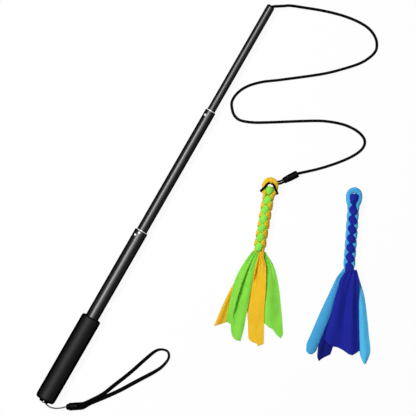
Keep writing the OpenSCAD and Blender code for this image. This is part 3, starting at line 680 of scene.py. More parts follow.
def fine_grain():
    """Fine moulded grain with faint larger unevenness."""
    group, given, out = new_group(
        "Fine grain", {"Grain": 2500.0, "Blotches": 60.0}, ["Grain", "Blotches"],
    )
    for socket, detail in (("Grain", 2.0), ("Blotches", 4.0)):
        group.links.new(speckle(group, given["Vector"], given[socket], detail), out[socket])
    return group


def drawn_scuffs():
    """Fine lines along the pole, as drawing and sliding leave them."""
    group, given, out = new_group(
        "Drawn scuffs", {"Lines": 900.0, "Length": 6.0, "Clouds": 35.0}, ["Scuffs", "Haze"],
    )
    scales = {"X": given["Length"], "Y": given["Lines"], "Z": given["Lines"]}
    stretch = add_node(group, "ShaderNodeCombineXYZ", scales).outputs[0]
    drawn = add_node(
        group, "ShaderNodeVectorMath", {0: given["Vector"], 1: stretch}, operation="MULTIPLY",
    ).outputs[0]
    group.links.new(speckle(group, drawn, scale=1.0, detail=3.0), out["Scuffs"])
    group.links.new(speckle(group, given["Vector"], given["Clouds"], detail=3.0), out["Haze"])
    return group


def braided_sheath():
    """Yarns that cross over and under around a cord, from metres along and turns around."""
    group, given, out = new_group(
        "Braided sheath", {"Pitch": 260.0, "Yarns": 8.0}, ["Yarn", "Height"],
    )
    part = add_node(group, "ShaderNodeSeparateXYZ", {0: given["Vector"]}).outputs
    rise = maths(group, "MULTIPLY", part["X"], given["Pitch"])
    turn = maths(group, "MULTIPLY", part["Y"], given["Yarns"])
    waves = [wave(group, maths(group, way, rise, turn)) for way in ("ADD", "SUBTRACT")]
    cross_waves(group, waves, out["Yarn"], out["Height"])
    return group


def ribbed_weave():
    """Ribs across a flat webbing, with its warp lines, from metres along and turns around."""
    group, given, out = new_group(
        "Ribbed weave", {"Ribs": 900.0, "Warps": 12.0}, ["Rib", "Height"],
    )
    part = add_node(group, "ShaderNodeSeparateXYZ", {0: given["Vector"]}).outputs
    waves = [
        wave(group, maths(group, "MULTIPLY", part[axis], given[count]))
        for axis, count in (("X", "Ribs"), ("Y", "Warps"))
    ]
    cross_waves(group, waves, out["Rib"], out["Height"])
    return group


GROUPS = {}


def shared_group(make):
    if make.__name__ not in GROUPS:
        GROUPS[make.__name__] = make()
    return GROUPS[make.__name__]


def scaled(colour, factor):
    return tuple(min(c * factor, 1) for c in colour)


def fleece_material(name, colour):
    look = Shader(
        name, Roughness=0.95, Sheen_Weight=0.2, Sheen_Roughness=0.5,
        Sheen_Tint=(*scaled(colour, 1.5), 1), Specular_IOR_Level=0.1,
    )
    nap = look.group(fleece_nap, look.object_place())
    look.shades(nap["Shade"], colour, dark=0.72, light=1.18)
    look.bump(nap["Height"], distance=0.0006, strength=0.7)
    return look.material


def cord_material(name, colour, pitch, yarns):
    look = Shader(name, Roughness=0.75, Specular_IOR_Level=0.06)
    sheath = look.group(braided_sheath, look.uv_place(), Pitch=pitch, Yarns=yarns)
    look.shades(sheath["Yarn"], colour, dark=0.6, light=1.6)
    look.bump(sheath["Height"], distance=0.0002, strength=0.5)
    return look.material


def webbing_material(name, colour):
    look = Shader(name, Roughness=0.8, Specular_IOR_Level=0.04)
    weave = look.group(ribbed_weave, look.uv_place())
    look.shades(weave["Rib"], colour, dark=0.6, light=2.0)
    look.bump(weave["Height"], distance=0.0002, strength=0.8)
    return look.material


def foam_material(name, colour):
    look = Shader(name)
    look.edge_gloss(level=0.33, reach=0.44)
    grain = look.group(fine_grain, look.object_place(), Grain=1500.0, Blotches=90.0)
    look.shades(grain["Grain"], colour, dark=0.6, light=1.6)
    look.roughness(grain["Blotches"], low=0.55, high=0.62)
    look.bump(grain["Grain"], distance=0.0002, strength=0.08)
    return look.material


def plastic_material(name, colour):
    look = Shader(name)
    look.edge_gloss(level=0.07, reach=0.4)
    grain = look.group(fine_grain, look.object_place(), Grain=4000.0, Blotches=140.0)
    look.shades(grain["Blotches"], colour, dark=0.8, light=1.4)
    look.roughness(grain["Blotches"], low=0.35, high=0.55)
    look.bump(grain["Grain"], distance=0.0001, strength=0.3)
    return look.material


def tube_material(name, colour):
    look = Shader(name)
    look.edge_gloss(level=1.0, reach=0.4)
    scuffs = look.group(drawn_scuffs, look.object_place())
    look.shades(scuffs["Haze"], colour, dark=0.85, light=1.15)
    look.roughness(scuffs["Scuffs"], low=0.33, high=0.42)
    return look.material


def metal_material(name, colour, rough, metallic=1.0):
    look = Shader(name, Metallic=metallic)
    grain = look.group(fine_grain, look.object_place(), Grain=3000.0, Blotches=300.0)
    look.shades(grain["Blotches"], colour, dark=0.85, light=1.1)
    look.roughness(grain["Grain"], low=rough - 0.08, high=rough + 0.1)
    return look.material


# Fleece forms, repeated from the part's source in millimetres

NECK = 15
BRAID_PITCH = 27.6
RINGS_PER_CROSSING = 14
# How much slower a strand turns about the braid where it passes over, as a share
OVER_SLOW = 0.6
# A strand's shape in shares of the braid's radius: how far out it runs, and how much further
# where it passes over; how thick and how wide it is, and what it gains there
STRAND_OUT, STRAND_WEAVES = 0.43, 0.26
STRAND_THICK, STRAND_THICKENS = 0.52, 0.12
STRAND_WIDE, STRAND_WIDENS, WIDEN_POWER = 0.68, 1.2, 0.8
# How a strand draws in over its last rings, where the tails begin, and how far it goes on, as a
# share of the braid's radius
DRAWN_IN = (0.95, 0.86, 0.74, 0.6, 0.46)
STRAND_GOES_ON = 0.3
# Where a braid's roll begins, and over how far it grows
ROLL_START, ROLL_STRETCH = 8, 32
# The front strip's head: how far out its ends and its middle run, and the least and most of its
# width, in shares of the braid's radius
HEAD_STEPS = 12
HEAD_OUT, HEAD_RISES, HEAD_POWER = 0.18, 0.53, 1.3
HEAD_WIDTHS = (1.1, 1.55)
# The eye: the radius of its middle, its thickness and depth, and the shares of the neck over
# which its legs come level and grow and by which they close
EYE_MID = 7.8
EYE_THICK = 8.4
EYE_DEEP = 7
EYE_STEPS = 28
LEG_STEPS = 10
LEG_LEVELS, LEG_GROWS, LEG_CLOSES = 0.3, 0.6, 0.08

# A lure's eye, heading and lift of its eye; its braid's crossings and roll, the reach of its
# front strip's head into the eye, the hand of its turn and the slimness of its front strands;
# its body, and its two colours
Lure = namedtuple("Lure", "eye heading lift crossings roll reach hand slim body front side")
LURES = {
    "lure": Lure(
        eye=LURE_EYE, heading=LURE_HEADING, lift=LURE_LIFT, crossings=6, roll=20, reach=0.52,
        hand=1, slim=0.82, body="lure", front="lime", side="amber",
    ),
    "spare": Lure(
        eye=SPARE_EYE, heading=SPARE_HEADING, lift=0, crossings=7, roll=0, reach=0.8,
        hand=-1, slim=0.88, body="spare_lure", front="navy", side="sky",
    ),
}


def over(angle, front):
    """How far over the others a strand passes at its angle about the braid, from -1 to 1."""
    return (1 if front else -1) * math.cos(2 * angle)


def station(place, thick, wide):
    """A place on a strip, with its thickness, its width and the way that faces out there."""
    return place, thick, wide, Vector((0, place.y, place.z))


class Braid:
    """The two strips of a square braid. Strands of the front strip turn one way and pass over on
    the front and back, strands of the side strip turn the other way and pass over at the sides."""

    def __init__(self, radius, lure):
        self.radius, self.lure = radius, lure
        self.length = lure.crossings * BRAID_PITCH / 2
        self.steps = lure.crossings * RINGS_PER_CROSSING

    def angle(self, s, turn, start, front):
        """The strand's angle about the braid, which changes least where the strand passes over."""
        a = FULL_TURN * s / BRAID_PITCH
        slow = OVER_SLOW if front == (math.cos(2 * start) > 0) else -OVER_SLOW
        return start + self.lure.hand * turn * (a - slow / 2 * math.sin(2 * a))

    def rolled(self, place):
        a = math.radians(self.lure.roll) * ramp(place.x, ROLL_START, ROLL_STRETCH)
        return Matrix.Rotation(a, 3, "X") @ place

    def point(self, s, turn, start, front):
        a = self.angle(s, turn, start, front)
        r = self.radius * (STRAND_OUT + STRAND_WEAVES * over(a, front))
        return self.rolled(Vector((NECK + s, r * math.sin(a), r * math.cos(a))))

    def thick(self, u):
        return self.radius * (STRAND_THICK + STRAND_THICKENS * u)

    def wide(self, u):
        return self.radius * (STRAND_WIDE + (STRAND_WIDENS * u ** WIDEN_POWER if u > 0 else 0))

    def strand(self, turn, start, front):
        stations = []
        for i in range(self.steps + 1):
            s = self.length * i / self.steps
            u = over(self.angle(s, turn, start, front), front)
            wide = self.wide(u) * (self.lure.slim if front else 1)
            stations.append(station(self.point(s, turn, start, front), self.thick(u), wide))
        for i, share in enumerate(DRAWN_IN, -len(DRAWN_IN)):
            place, thick, wide, up = stations[i]
            stations[i] = place, thick * share, wide * share, up
        place, *shape = stations[-1]
        return stations + [(place + Vector((self.radius * STRAND_GOES_ON, 0, 0)), *shape)]

    def front_head(self):
        stations = []
        least, most = (share * self.radius for share in HEAD_WIDTHS)
        for i in range(1, HEAD_STEPS):
            t = math.pi * i / HEAD_STEPS
            a = math.pi / 2 - t
            r = self.radius * (HEAD_OUT + HEAD_RISES * math.sin(t) ** HEAD_POWER)
            u = 2 * math.sin(t) - 1
            x = NECK - NECK * self.lure.reach * math.sin(t)
            place = Vector((x, r * math.sin(a), r * math.cos(a)))
            stations.append(station(place, self.thick(u), min(max(self.wide(u), least), most)))
        return stations

    def eye_leg(self, start):
        stations = []
        for i in range(1, LEG_STEPS + 1):
            s = -NECK * i / (LEG_STEPS + 1)
            level, grown = ease(-s / (NECK * LEG_LEVELS)), ease(i / LEG_STEPS / LEG_GROWS)
            beside = EYE_MID * (1 - LEG_CLOSES * ease(1 + s / NECK)) * math.sin(start)
            place = self.point(s, -1, start, False).lerp(Vector((NECK + s, beside, 0)), level)
            thick = mix(self.thick(1), EYE_THICK, grown)
            stations.append(station(place, thick, mix(self.wide(1), EYE_DEEP, grown)))
        return stations

    def side_head(self):
        ring = []
        for i in range(EYE_STEPS + 1):
            a = math.pi / 2 + math.pi * i / EYE_STEPS
            place = Vector((EYE_MID * math.cos(a), EYE_MID * math.sin(a), 0))
            ring.append((place, EYE_THICK, EYE_DEEP, place.copy()))
        return self.eye_leg(math.pi / 2) + ring + self.eye_leg(-math.pi / 2)[::-1]

    def front_strip(self):
        left, right = (self.strand(1, a, True) for a in (math.pi / 2, -math.pi / 2))
        return left[::-1] + self.front_head() + right

    def side_strip(self):
        left, right = (self.strand(-1, a, False) for a in (math.pi / 2, -math.pi / 2))
        return left[::-1] + self.side_head() + right


def strip_sections(stations, place):
    """Sections of a fleece strip, thick along each station's outward direction."""
    sections = []
    for (p, thick, wide, up), way in zip(stations, headings([s[0] for s in stations])):
        up = (up - way * up.dot(way)).normalized()
        across = up.cross(way)
        sections.append(place @ section(p * MM, across * wide / 2 * MM, up * thick / 2 * MM, way))
    return sections


def lure_place(lure, length):
    """Where a lure's braid lies, dipped from its lifted eye to the floor."""
    dip = math.asin(lure.lift / (NECK + length))
    place = placed(lure.eye, FLOOR_MM + BRAID_REST + lure.lift, lure.heading)
    return place @ Matrix.Rotation(dip, 4, "Y")


# How close the soft creases in a strand lie, around it and along it
CREASES_AROUND, CREASES_ALONG = 2.2, 110
# The coils of the rolled strip in the eye: their pitch in metres, how narrow and how deep they
# are beside the creases, and how far from the eye's middle they fade out, in millimetres
COIL_PITCH, COIL_POWER, COIL_DEPTH, COIL_REACH = 0.0065, 6, 1.2, 10


def crease(bm, depth, place):
    """Presses soft creases into a swept strand, and the coils of a rolled strip into its eye."""
    along = bm.verts.layers.float["along"]
    around = bm.verts.layers.float["around"]
    from_eye = place.inverted()
    bm.normal_update()
    for v in bm.verts:
        a = FULL_TURN * v[around]
        ring = CREASES_AROUND * math.cos(a), CREASES_AROUND * math.sin(a)
        where = Vector((*ring, v[along] * CREASES_ALONG))
        coil = (0.5 + 0.5 * math.cos(a - FULL_TURN * v[along] / COIL_PITCH)) ** COIL_POWER
        coil *= ease(1 - (from_eye @ v.co).x / MM / COIL_REACH)
        v.co += v.normal * depth * (noise.noise(where) - COIL_DEPTH * coil)
    for v in bm.verts:
        v.co.z = max(v.co.z, FLOOR)


# How each tail folds: its height, as a share of the highest fold, at v from its left edge at -1
# to its right edge at 1, and at t from its root at 0 to its cut end at 1


def swell(v, middle, half):
    return ease(1 - abs(v - middle) / half)


def flap(v, t):
    """A flap on the left lies over a valley, and the rest slopes up from it."""
    valley = mix(0.02, -0.32, ramp(t, 0.15, 0.65))
    step = 1 - ramp(t, 0.74, 0.16)
    if v < valley:
        crest = mix(0.3, 0.45 + 0.55 * math.sin(math.pi * t), step)
        return mix(0.26, crest, ramp(v, -1, valley + 1))
    w = (v - valley) / (1 - valley)
    return mix(mix(0.3, 0.06, step), 0.46, ease(w * 1.5 - 0.2)) - 0.1 * ramp(w, 0.7, 0.3)


def gathered(v, t):
    """Gathered by a crease at its root, it rises to its right edge."""
    pinch = swell(v, -0.35, 0.28) * (1 - ramp(t, 0.2, 0.2))
    mound = 0.4 * swell(v, -0.1, 1) * (1 - ramp(t, 0.1, 0.4))
    rise = mix(0.06, mix(1.2, 0.3, ramp(t, 0.35, 0.4)), ((v + 1) / 2) ** 1.3)
    return rise + mound - 1.7 * pinch


def ridged(v, t):
    """A ridge runs down beside its left edge."""
    top = mix(-0.3, -0.7, t)
    height = mix(0.4, 0.72, ramp(t, 0, 0.4)) * mix(1, 0.5, ramp(t, 0.75, 0.25))
    if v < top:
        return mix(0.05, height, ramp(v, -1, top + 1))
    return mix(height, 0.08, ramp(v, top, 1 - top))


def sloped(v, t):
    """It stands up beside its left edge and slopes down under its neighbour."""
    height = mix(0.05, 0.42, ramp(t, 0.35, 0.3))
    if v < -0.75:
        return mix(0.4, 1, ramp(v, -1, 0.25)) * height
    return mix(height, 0.04, ramp(v, -0.75, 0.8))


def waved(v, t):
    """Two soft waves run down it."""
    return 0.24 + 0.66 * swell(v, mix(0.35, 0.52, t), 0.46) + 0.5 * swell(v, -0.62, 0.66)


def rolled_up(v, t):
    """Rolled up, it lies as a half round."""
    return 0.03 + 0.55 * math.sqrt(max(1 - v * v, 0))


def humped(v, t):
    """One low hump runs down it."""
    return 0.03 + 0.24 * swell(v, 0.1, 0.9)


# A tail's left and right edges, along the braid and across it, and its cut end, from edge to edge
# and along, in its lure's frame in millimetres; how far its root lies above the braid's middle;
# its folds, and its painted light level, which scales its fleece colour: painted shade below 1,
# painted light above 1
TailShape = namedtuple("TailShape", "left right end above folds nap")
TAILS = {
    "lure_front_tail_left": TailShape(
        left=[
            (97, -7.5), (101, -10.8), (111, -16.2), (131, -24), (149, -28.4), (172, -29.6),
            (191, -30.2), (207, -30.8), (234, -31.5),
        ],
        right=[
            (97, 0.5), (101, 1), (114, -1), (130, -2.2), (149, -2.2), (177, -2.1), (196, -2.6),
            (213, -2.7), (234, -4.6),
        ],
        end=[(-1, 206.5), (-0.45, 210), (-0.25, 220), (0, 227), (0.4, 231.5), (1, 232)],
        above=1, folds=flap, nap=0.9,
    ),
    "lure_side_tail_left": TailShape(
        left=[
            (97, -6), (120, -17), (149, -28), (169, -34.8), (191, -40.6), (217, -46.7),
            (222, -47.8),
        ],
        right=[(97, 0), (130, -12.5), (149, -17.5), (191, -21.5), (217, -25.5), (222, -26.5)],
        end=[(-1, 217), (1, 205)],
        above=-1, folds=sloped, nap=0.9,
    ),
    "lure_side_tail_middle": TailShape(
        left=[
            (97, 0), (108, -1), (122, -4), (149, -6), (168, -5.5), (186, -2.5), (205, 1.8),
            (220, 4.7), (236, 8),
        ],
        right=[
            (97, 7), (107, 8.6), (119, 14.1), (145, 18.5), (164, 20.9), (182, 22.5), (229, 29.5),
            (236, 30.6),
        ],
        end=[
            (-1, 225.9), (-0.75, 229), (-0.46, 230.7), (0.1, 231.8), (0.23, 235.6), (0.56, 232.9),
            (1, 230.5),
        ],
        above=1, folds=gathered, nap=1,
    ),
    "lure_front_tail_right": TailShape(
        left=[
            (97, 2), (110, 7), (122, 10), (140, 13), (154, 15.5), (173, 18.5), (199, 24.5),
            (222, 31),
        ],
        right=[
            (97, 10), (101, 12.4), (110, 21.2), (124, 29.7), (147, 38.5), (169, 44.6),
            (187, 49.6), (209, 54.7), (222, 57.5),
        ],
        end=[(-1, 200), (-0.5, 205), (-0.1, 207), (0.2, 213), (0.7, 218.5), (1, 212)],
        above=-1, folds=ridged, nap=1,
    ),
    "spare_front_tail_middle": TailShape(
        left=[
            (108, -3), (113, -4.5), (122, -11), (134, -14), (157, -18.2), (181, -22.3),
            (202, -26.5), (214, -28.5), (236, -31),
        ],
        right=[(108, 11), (113, 13), (124, 16), (151, 18), (189, 21), (228, 24.7), (240, 26)],
        end=[
            (-1, 213), (-0.75, 219), (-0.5, 222.5), (-0.2, 223.5), (0.1, 227), (0.4, 232),
            (0.6, 233.5), (0.85, 229.5), (1, 226),
        ],
        above=2, folds=waved, nap=1,
    ),
    "spare_front_tail_left": TailShape(
        left=[(108, -5), (150, -14), (173, -22.5), (216, -35), (238, -36.8), (250, -36.6)],
        right=[(108, 3), (150, -4), (190, -8), (223, -14.4), (237, -18.2), (250, -22)],
        end=[(-1, 238), (-0.7, 246), (0, 241), (1, 235)],
        above=0.4, folds=sloped, nap=0.6,
    ),
    "spare_side_tail_left": TailShape(
        left=[
            (108, -8), (113, -10.5), (122, -16.9), (144, -25), (178, -38), (206, -47.6),
            (226, -54.9), (240, -60),
        ],
        right=[
            (108, -1), (120, -6), (134, -12), (165, -18.5), (189, -24.5), (213, -33), (236, -41),
            (245, -44),
        ],
        end=[(-1, 222), (-0.6, 232), (0, 236), (0.6, 236.5), (1, 232)],
        above=-1, folds=rolled_up, nap=0.88,
    ),
    "spare_side_tail_right": TailShape(
        left=[(108, 3), (129, 11), (160, 15.5), (189, 19), (228, 24.5), (246, 32.7)],
        right=[
            (108, 9), (113, 13), (124, 17.5), (144, 25.4), (169, 31.1), (198, 36.1), (223, 40.4),
            (233, 39.5), (246, 34.4),
        ],
        end=[(-1, 245), (1, 245)],
        above=-1, folds=humped, nap=1.25,
    ),
}
# How far a tail's lower side stays above the floor
TAIL_LIE = 0.1
# How far out a tail's root lies, as a share of the braid's radius, and over what length it drops
TAIL_ROOT, TAIL_DROP = 0.34, 55
# The pleats at its root: their height, their half waves from its middle to an edge, and their reach
PLEAT_HEIGHT, PLEAT_WAVES, PLEAT_REACH = 0.9, 3.4, 50
# Its ripples: their height, how close they lie along it and across it, and over what they grow
RIPPLE_HEIGHT, RIPPLES_ALONG, RIPPLES_ACROSS, RIPPLE_GROWS = 0.7, 0.05, 0.11, 40


def smooth_edge(points):
    return [(p.x, p.y) for p in smooth_route(vectors(points), steps=6)]


class Tail:
    """A fleece tail, dropping from its root at the braid's end and spread on the floor."""

    def __init__(self, shape, radius, fold_height, cloth):
        self.shape, self.radius, self.fold_height = shape, radius, fold_height
        self.left, self.right = smooth_edge(shape.left), smooth_edge(shape.right)
        self.root = shape.left[0][0]
        self.least = cloth / 2 + TAIL_LIE

    def point(self, t, v):
        """A point above the floor, at a share of the length and from edge to edge."""
        x = mix(self.root, along_table(self.shape.end, v), t)
        y = mix(along_table(self.left, x), along_table(self.right, x), (v + 1) / 2)
        along = x - self.root
        ripple = noise.noise(Vector((x * RIPPLES_ALONG, y * RIPPLES_ACROSS, self.root)))
        lie = self.least + self.fold_height * self.shape.folds(v, t)
        lie += RIPPLE_HEIGHT * (1 + ripple) * ease(along / RIPPLE_GROWS)
        pleats = PLEAT_HEIGHT * math.cos(PLEAT_WAVES * math.pi * v + self.shape.above)
        pleats *= 1 - ease(along / PLEAT_REACH)
        root = BRAID_REST + self.shape.above * self.radius * TAIL_ROOT
        z = mix(root, lie, ease(along / TAIL_DROP)) + pleats
        return Vector((x, y, max(z, self.least)))

    def cut_size(self, steps=40):
        """The width and length of the flat piece that it is cut from, in metres."""
        shares = [i / steps for i in range(steps + 1)]
        rows = [[self.point(t, 2 * u - 1) for u in shares] for t in shares]
        width = max(route_length(row) for row in rows)
        length = max(route_length(column) for column in zip(*rows))
        return width * MM, length * MM


# Operators


class LayCords(Operator):
    """Lays the bungee from the tip to its sleeve, and the loop that holds the lure"""

    bl_idname = "flirt_pole.lay_cords"
    bl_label = "Lay bungee and lure loop"

    def execute(self, context):
        sizes, colours = context.scene.flirt_pole_cords, context.scene.flirt_pole_finish
        route = bungee_route()
        bungee = swept_cord(
            "Bungee", route, sizes.bungee_diameter / 2,
            cord_material("Bungee sheath", colours.cord, pitch=190.0, yarns=6.0),
            None, sides=14,
        )
        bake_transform(bungee, "tip_section", "lure", *BUNGEE_TURN)
        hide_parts("bungee_cord")
        route = loop_route()
        loop = swept_cord(
            "Lure_loop", route, sizes.loop_diameter / 2,
            cord_material("Loop sheath", colours.cord, pitch=230.0, yarns=5.0),
            "lure", sides=12,
        )
        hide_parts("cord_loop")
        return {"FINISHED"}


class LayStrap(Operator):
    """Lays the wrist strap: its thread at the butt and its loop of webbing"""

    bl_idname = "flirt_pole.lay_strap"
    bl_label = "Lay wrist strap"

    def execute(self, context):
        sizes, colours = context.scene.flirt_pole_cords, context.scene.flirt_pole_finish
        grey = cord_material("Twisted thread", colours.thread, pitch=500.0, yarns=2.0)
        route = thread_route()
        thread, eye = (
            swept_cord(
                name, way, sizes.thread_diameter / 2, grey, "wrist_strap", sides=10,
            )
            for name, way in (("Strap_thread", route), ("Thread_eye", thread_eye_route()))
        )
        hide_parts("strap_thread")
        half_width, half_thickness = sizes.webbing_width / 2, sizes.webbing_thickness / 2
        route = webbing_route(half_width / MM, half_thickness / MM)
        webbing = swept_cord(
            "Strap_webbing", route, half_width, webbing_material("Strap weave", colours.cord),
            "wrist_strap", sides=16, half_thickness=half_thickness,
            lean=webbing_twist, square=0.5,
        )
        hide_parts("strap_webbing")
        return {"FINISHED"}


STRAND_SIDES = 20


class BraidLures(Operator):
    """Braids the fleece strips of the fitted lure and the spare"""

    bl_idname = "flirt_pole.braid_lures"
    bl_label = "Braid lures"

    def execute(self, context):
        sizes, colours = context.scene.flirt_pole_fleece, context.scene.flirt_pole_finish
        for name, lure in LURES.items():
            braid = Braid(sizes.braid_diameter / 2 / MM, lure)
            place = lure_place(lure, braid.length)
            for which, stations, colour in (
                ("front", braid.front_strip(), lure.front), ("side", braid.side_strip(), lure.side),
            ):
                bm = bmesh.new()
                sweep(bm, strip_sections(stations, place), STRAND_SIDES)
                crease(bm, sizes.crease_depth, place)
                unwrap_sweep(bm)
                title = f"{name.capitalize()}_{which}_strip"
                cloth = fleece_material(f"{colour.capitalize()} fleece", getattr(colours, colour))
                strip = finished(bm, title, cloth, lure.body)
                subdivide(strip, 1)
                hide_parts(f"{name}_{which}_strip")
        return {"FINISHED"}


# How many squares a tail's grid has across and along it
TAIL_ACROSS, TAIL_ALONG = 44, 64


class SpreadTails(Operator):
    """Spreads the fleece tails beyond the braids"""

    bl_idname = "flirt_pole.spread_tails"
    bl_label = "Spread tails"

    def execute(self, context):
        sizes, colours = context.scene.flirt_pole_fleece, context.scene.flirt_pole_finish
        for name, shape in TAILS.items():
            lure = LURES[name.split("_")[0]]
            colour = lure.front if "_front_" in name else lure.side
            tail = Tail(
                shape, sizes.braid_diameter / 2 / MM, sizes.fold_height / MM, sizes.thickness / MM,
            )
            place = placed(lure.eye, FLOOR_MM, lure.heading)
            bm = bmesh.new()
            bmesh.ops.create_grid(bm, x_segments=TAIL_ACROSS, y_segments=TAIL_ALONG, size=1)
            for v in bm.verts:
                v.co = place @ (tail.point((v.co.y + 1) / 2, v.co.x) * MM)
            area = sum(f.calc_area() for f in bm.faces)
            width, length = tail.cut_size()
            title = "_".join(w.capitalize() for w in name.split("_"))
            # The tail's colour is scaled by its painted light level: painted shade or painted light on the
            # fleece
            cloth = fleece_material(f"{title} fleece", scaled(getattr(colours, colour), shape.nap))
            piece = finished(bm, title, cloth, lure.body)
            layer = piece.modifiers.new("Fleece thickness", "SOLIDIFY")
            layer.thickness = sizes.thickness
            layer.offset = 0
            subdivide(piece, 1)
            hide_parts(name)
        return {"FINISHED"}


# The foam's gap on the tube, and the roundings of its butt and front edges, in millimetres
GRIP_GAP = 0.05
GRIP_ROUNDINGS = (0.5, 3)
GRIP_CUTS = 40
GRIP_STEPS = 96
# Edges of the grip's profile longer than this are cut, in metres
LONG_EDGE = 0.05


class WrapGrip(Operator):
    """Wraps the lower tube in its foam grip"""

    bl_idname = "flirt_pole.wrap_grip"
    bl_label = "Wrap foam grip"

    def execute(self, context):
        foam = foam_material("Foam", context.scene.flirt_pole_finish.foam)
        start, end = (corner[0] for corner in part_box("grip_sleeve"))
        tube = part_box("lower_tube")[1][2] + GRIP_GAP * MM
        bm = bmesh.new()
        profile = [(start, tube), (start, GRIP_RADIUS), (end, GRIP_RADIUS), (end, tube)]
        corners = [bm.verts.new((x, 0, r)) for x, r in profile]
        for pair in zip(corners, corners[1:] + corners[:1]):
            bm.edges.new(pair)
        for corner, rounding in zip(corners[1:3], GRIP_ROUNDINGS):
            bmesh.ops.bevel(
                bm, geom=[corner], offset=rounding * MM, offset_type="OFFSET", affect="VERTICES",
                segments=8, profile=0.5, material=-1,
            )
        long_edges = [e for e in bm.edges if e.calc_length() > LONG_EDGE]
        bmesh.ops.subdivide_edges(bm, edges=long_edges, cuts=GRIP_CUTS)
        bmesh.ops.spin(
            bm, geom=bm.verts[:] + bm.edges[:], cent=(0, 0, 0), axis=(1, 0, 0), angle=FULL_TURN,
            steps=GRIP_STEPS, use_merge=True,
        )
        grip = finished(bm, "Foam_grip", foam, "lower_section", sharp=50)
        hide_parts("grip_sleeve")
        return {"FINISHED"}


# A lock's place along the pole, the half width of its arm, the heights of the arm at the button
# and of the button's root and top, in millimetres, and the slide that bends it in, with what is
# kept of its height
Lock = namedtuple("Lock", "x half rise root top slide keep")
LOCKS = {
    "lower": Lock(
        x=275.6, half=1.96, rise=6.47, root=5.8, top=10.8, slide="middle_slide", keep=0.78,
    ),
    "upper": Lock(
        x=477.6, half=1.43, rise=4.65, root=4.12, top=8.8, slide="tip_slide", keep=0.76,
    ),
}
LOCK_ANGLE = -35
# The arm's length to the button's middle, its foot, along and out, and its thickness
SPRING_ARM = 27
SPRING_FOOT = [(0.25, 1.2), (0.25, 1.8)]
SPRING_THICK = 0.6
BUTTON_RADIUS = 2.3
BUTTON_DOME = 2.5
# The bush rivet's place along the pole and across it, and the radius of the tube that it is in
RIVET_X, RIVET_Y, RIVET_TUBE = 280.6, 1.6, 10
# Its radius, how far its skirt and its dome's foot lie below the tube's face, and its dome's rise
RIVET_RADIUS, RIVET_SKIRT, RIVET_FOOT, RIVET_RISE = 2.0, 0.6, 0.35, 0.95
SPIN_STEPS = 32
DOME_STEPS = 6


def dome(radius, foot, rise):
    """The profile of a dome from its edge to its top."""
    angles = [math.radians(90 * i / DOME_STEPS) for i in range(DOME_STEPS + 1)]
    return [(radius * math.cos(a), foot + rise * math.sin(a)) for a in angles]


def spun(bm, profile):
    """Spins a profile, of radii and heights in millimetres, about its own Z."""
    start = len(bm.verts)
    verts = [bm.verts.new((r * MM, 0, h * MM)) for r, h in profile]
    edges = [bm.edges.new(pair) for pair in zip(verts, verts[1:])]
    bmesh.ops.spin(
        bm, geom=verts + edges, cent=(0, 0, 0), axis=(0, 0, 1), angle=FULL_TURN, steps=SPIN_STEPS,
        use_merge=True,
    )
    bm.verts.ensure_lookup_table()
    bmesh.ops.remove_doubles(bm, verts=bm.verts[start:], dist=WELD)


class FitLocks(Operator):
    """Fits the sprung lock buttons on their arms, and the rivet that holds the lower tube's bush"""

    bl_idname = "flirt_pole.fit_locks"
    bl_label = "Fit locks"

    def execute(self, context):
        metal = context.scene.flirt_pole_finish.metal
        plated = metal_material("Dull plated metal", metal, rough=0.45, metallic=0.3)
        turn = Matrix.Rotation(math.radians(LOCK_ANGLE), 4, "X")
        for name, lock in LOCKS.items():
            bm = bmesh.new()
            crown = dome(BUTTON_RADIUS, lock.top - BUTTON_DOME, BUTTON_DOME)
            spun(bm, [(0, lock.root), (BUTTON_RADIUS, lock.root), *crown])
            self.arm(bm, lock)
            place = (lock.x * MM, 0, 0)
            bmesh.ops.transform(bm, matrix=Matrix.Translation(place) @ turn, verts=bm.verts)
            title = f"{name.capitalize()}_lock_button"
            button = finished(bm, title, plated, f"{name}_lock", sharp=35)
            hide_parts(f"{name}_lock_button")
            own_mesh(button)
        bm = bmesh.new()
        head = dome(RIVET_RADIUS, RIVET_TUBE - RIVET_FOOT, RIVET_RISE)
        spun(bm, [(RIVET_RADIUS, RIVET_TUBE - RIVET_SKIRT), *head])
        lean = Matrix.Rotation(-math.asin(RIVET_Y / RIVET_TUBE), 4, "X")
        place = Matrix.Translation((RIVET_X * MM, 0, 0))
        bmesh.ops.transform(bm, matrix=place @ lean, verts=bm.verts)
        finished(bm, "Bush_rivet", plated, "lower_section", sharp=35)
        return {"FINISHED"}

    def arm(self, bm, lock):
        """Adds the spring's arm, from its foot to beyond the button."""
        reach = SPRING_ARM + BUTTON_RADIUS
        outline = [*SPRING_FOOT, (reach, lock.rise), (reach, lock.rise - SPRING_THICK)]
        corners = [
            bm.verts.new(((along - SPRING_ARM) * MM, -lock.half * MM, out * MM))
            for along, out in outline
        ]
        face = bmesh.ops.contextual_create(bm, geom=corners)["faces"]
        grown = bmesh.ops.extrude_face_region(bm, geom=face)["geom"]
        bmesh.ops.translate(bm, verts=new_verts(grown), vec=(0, 2 * lock.half * MM, 0))


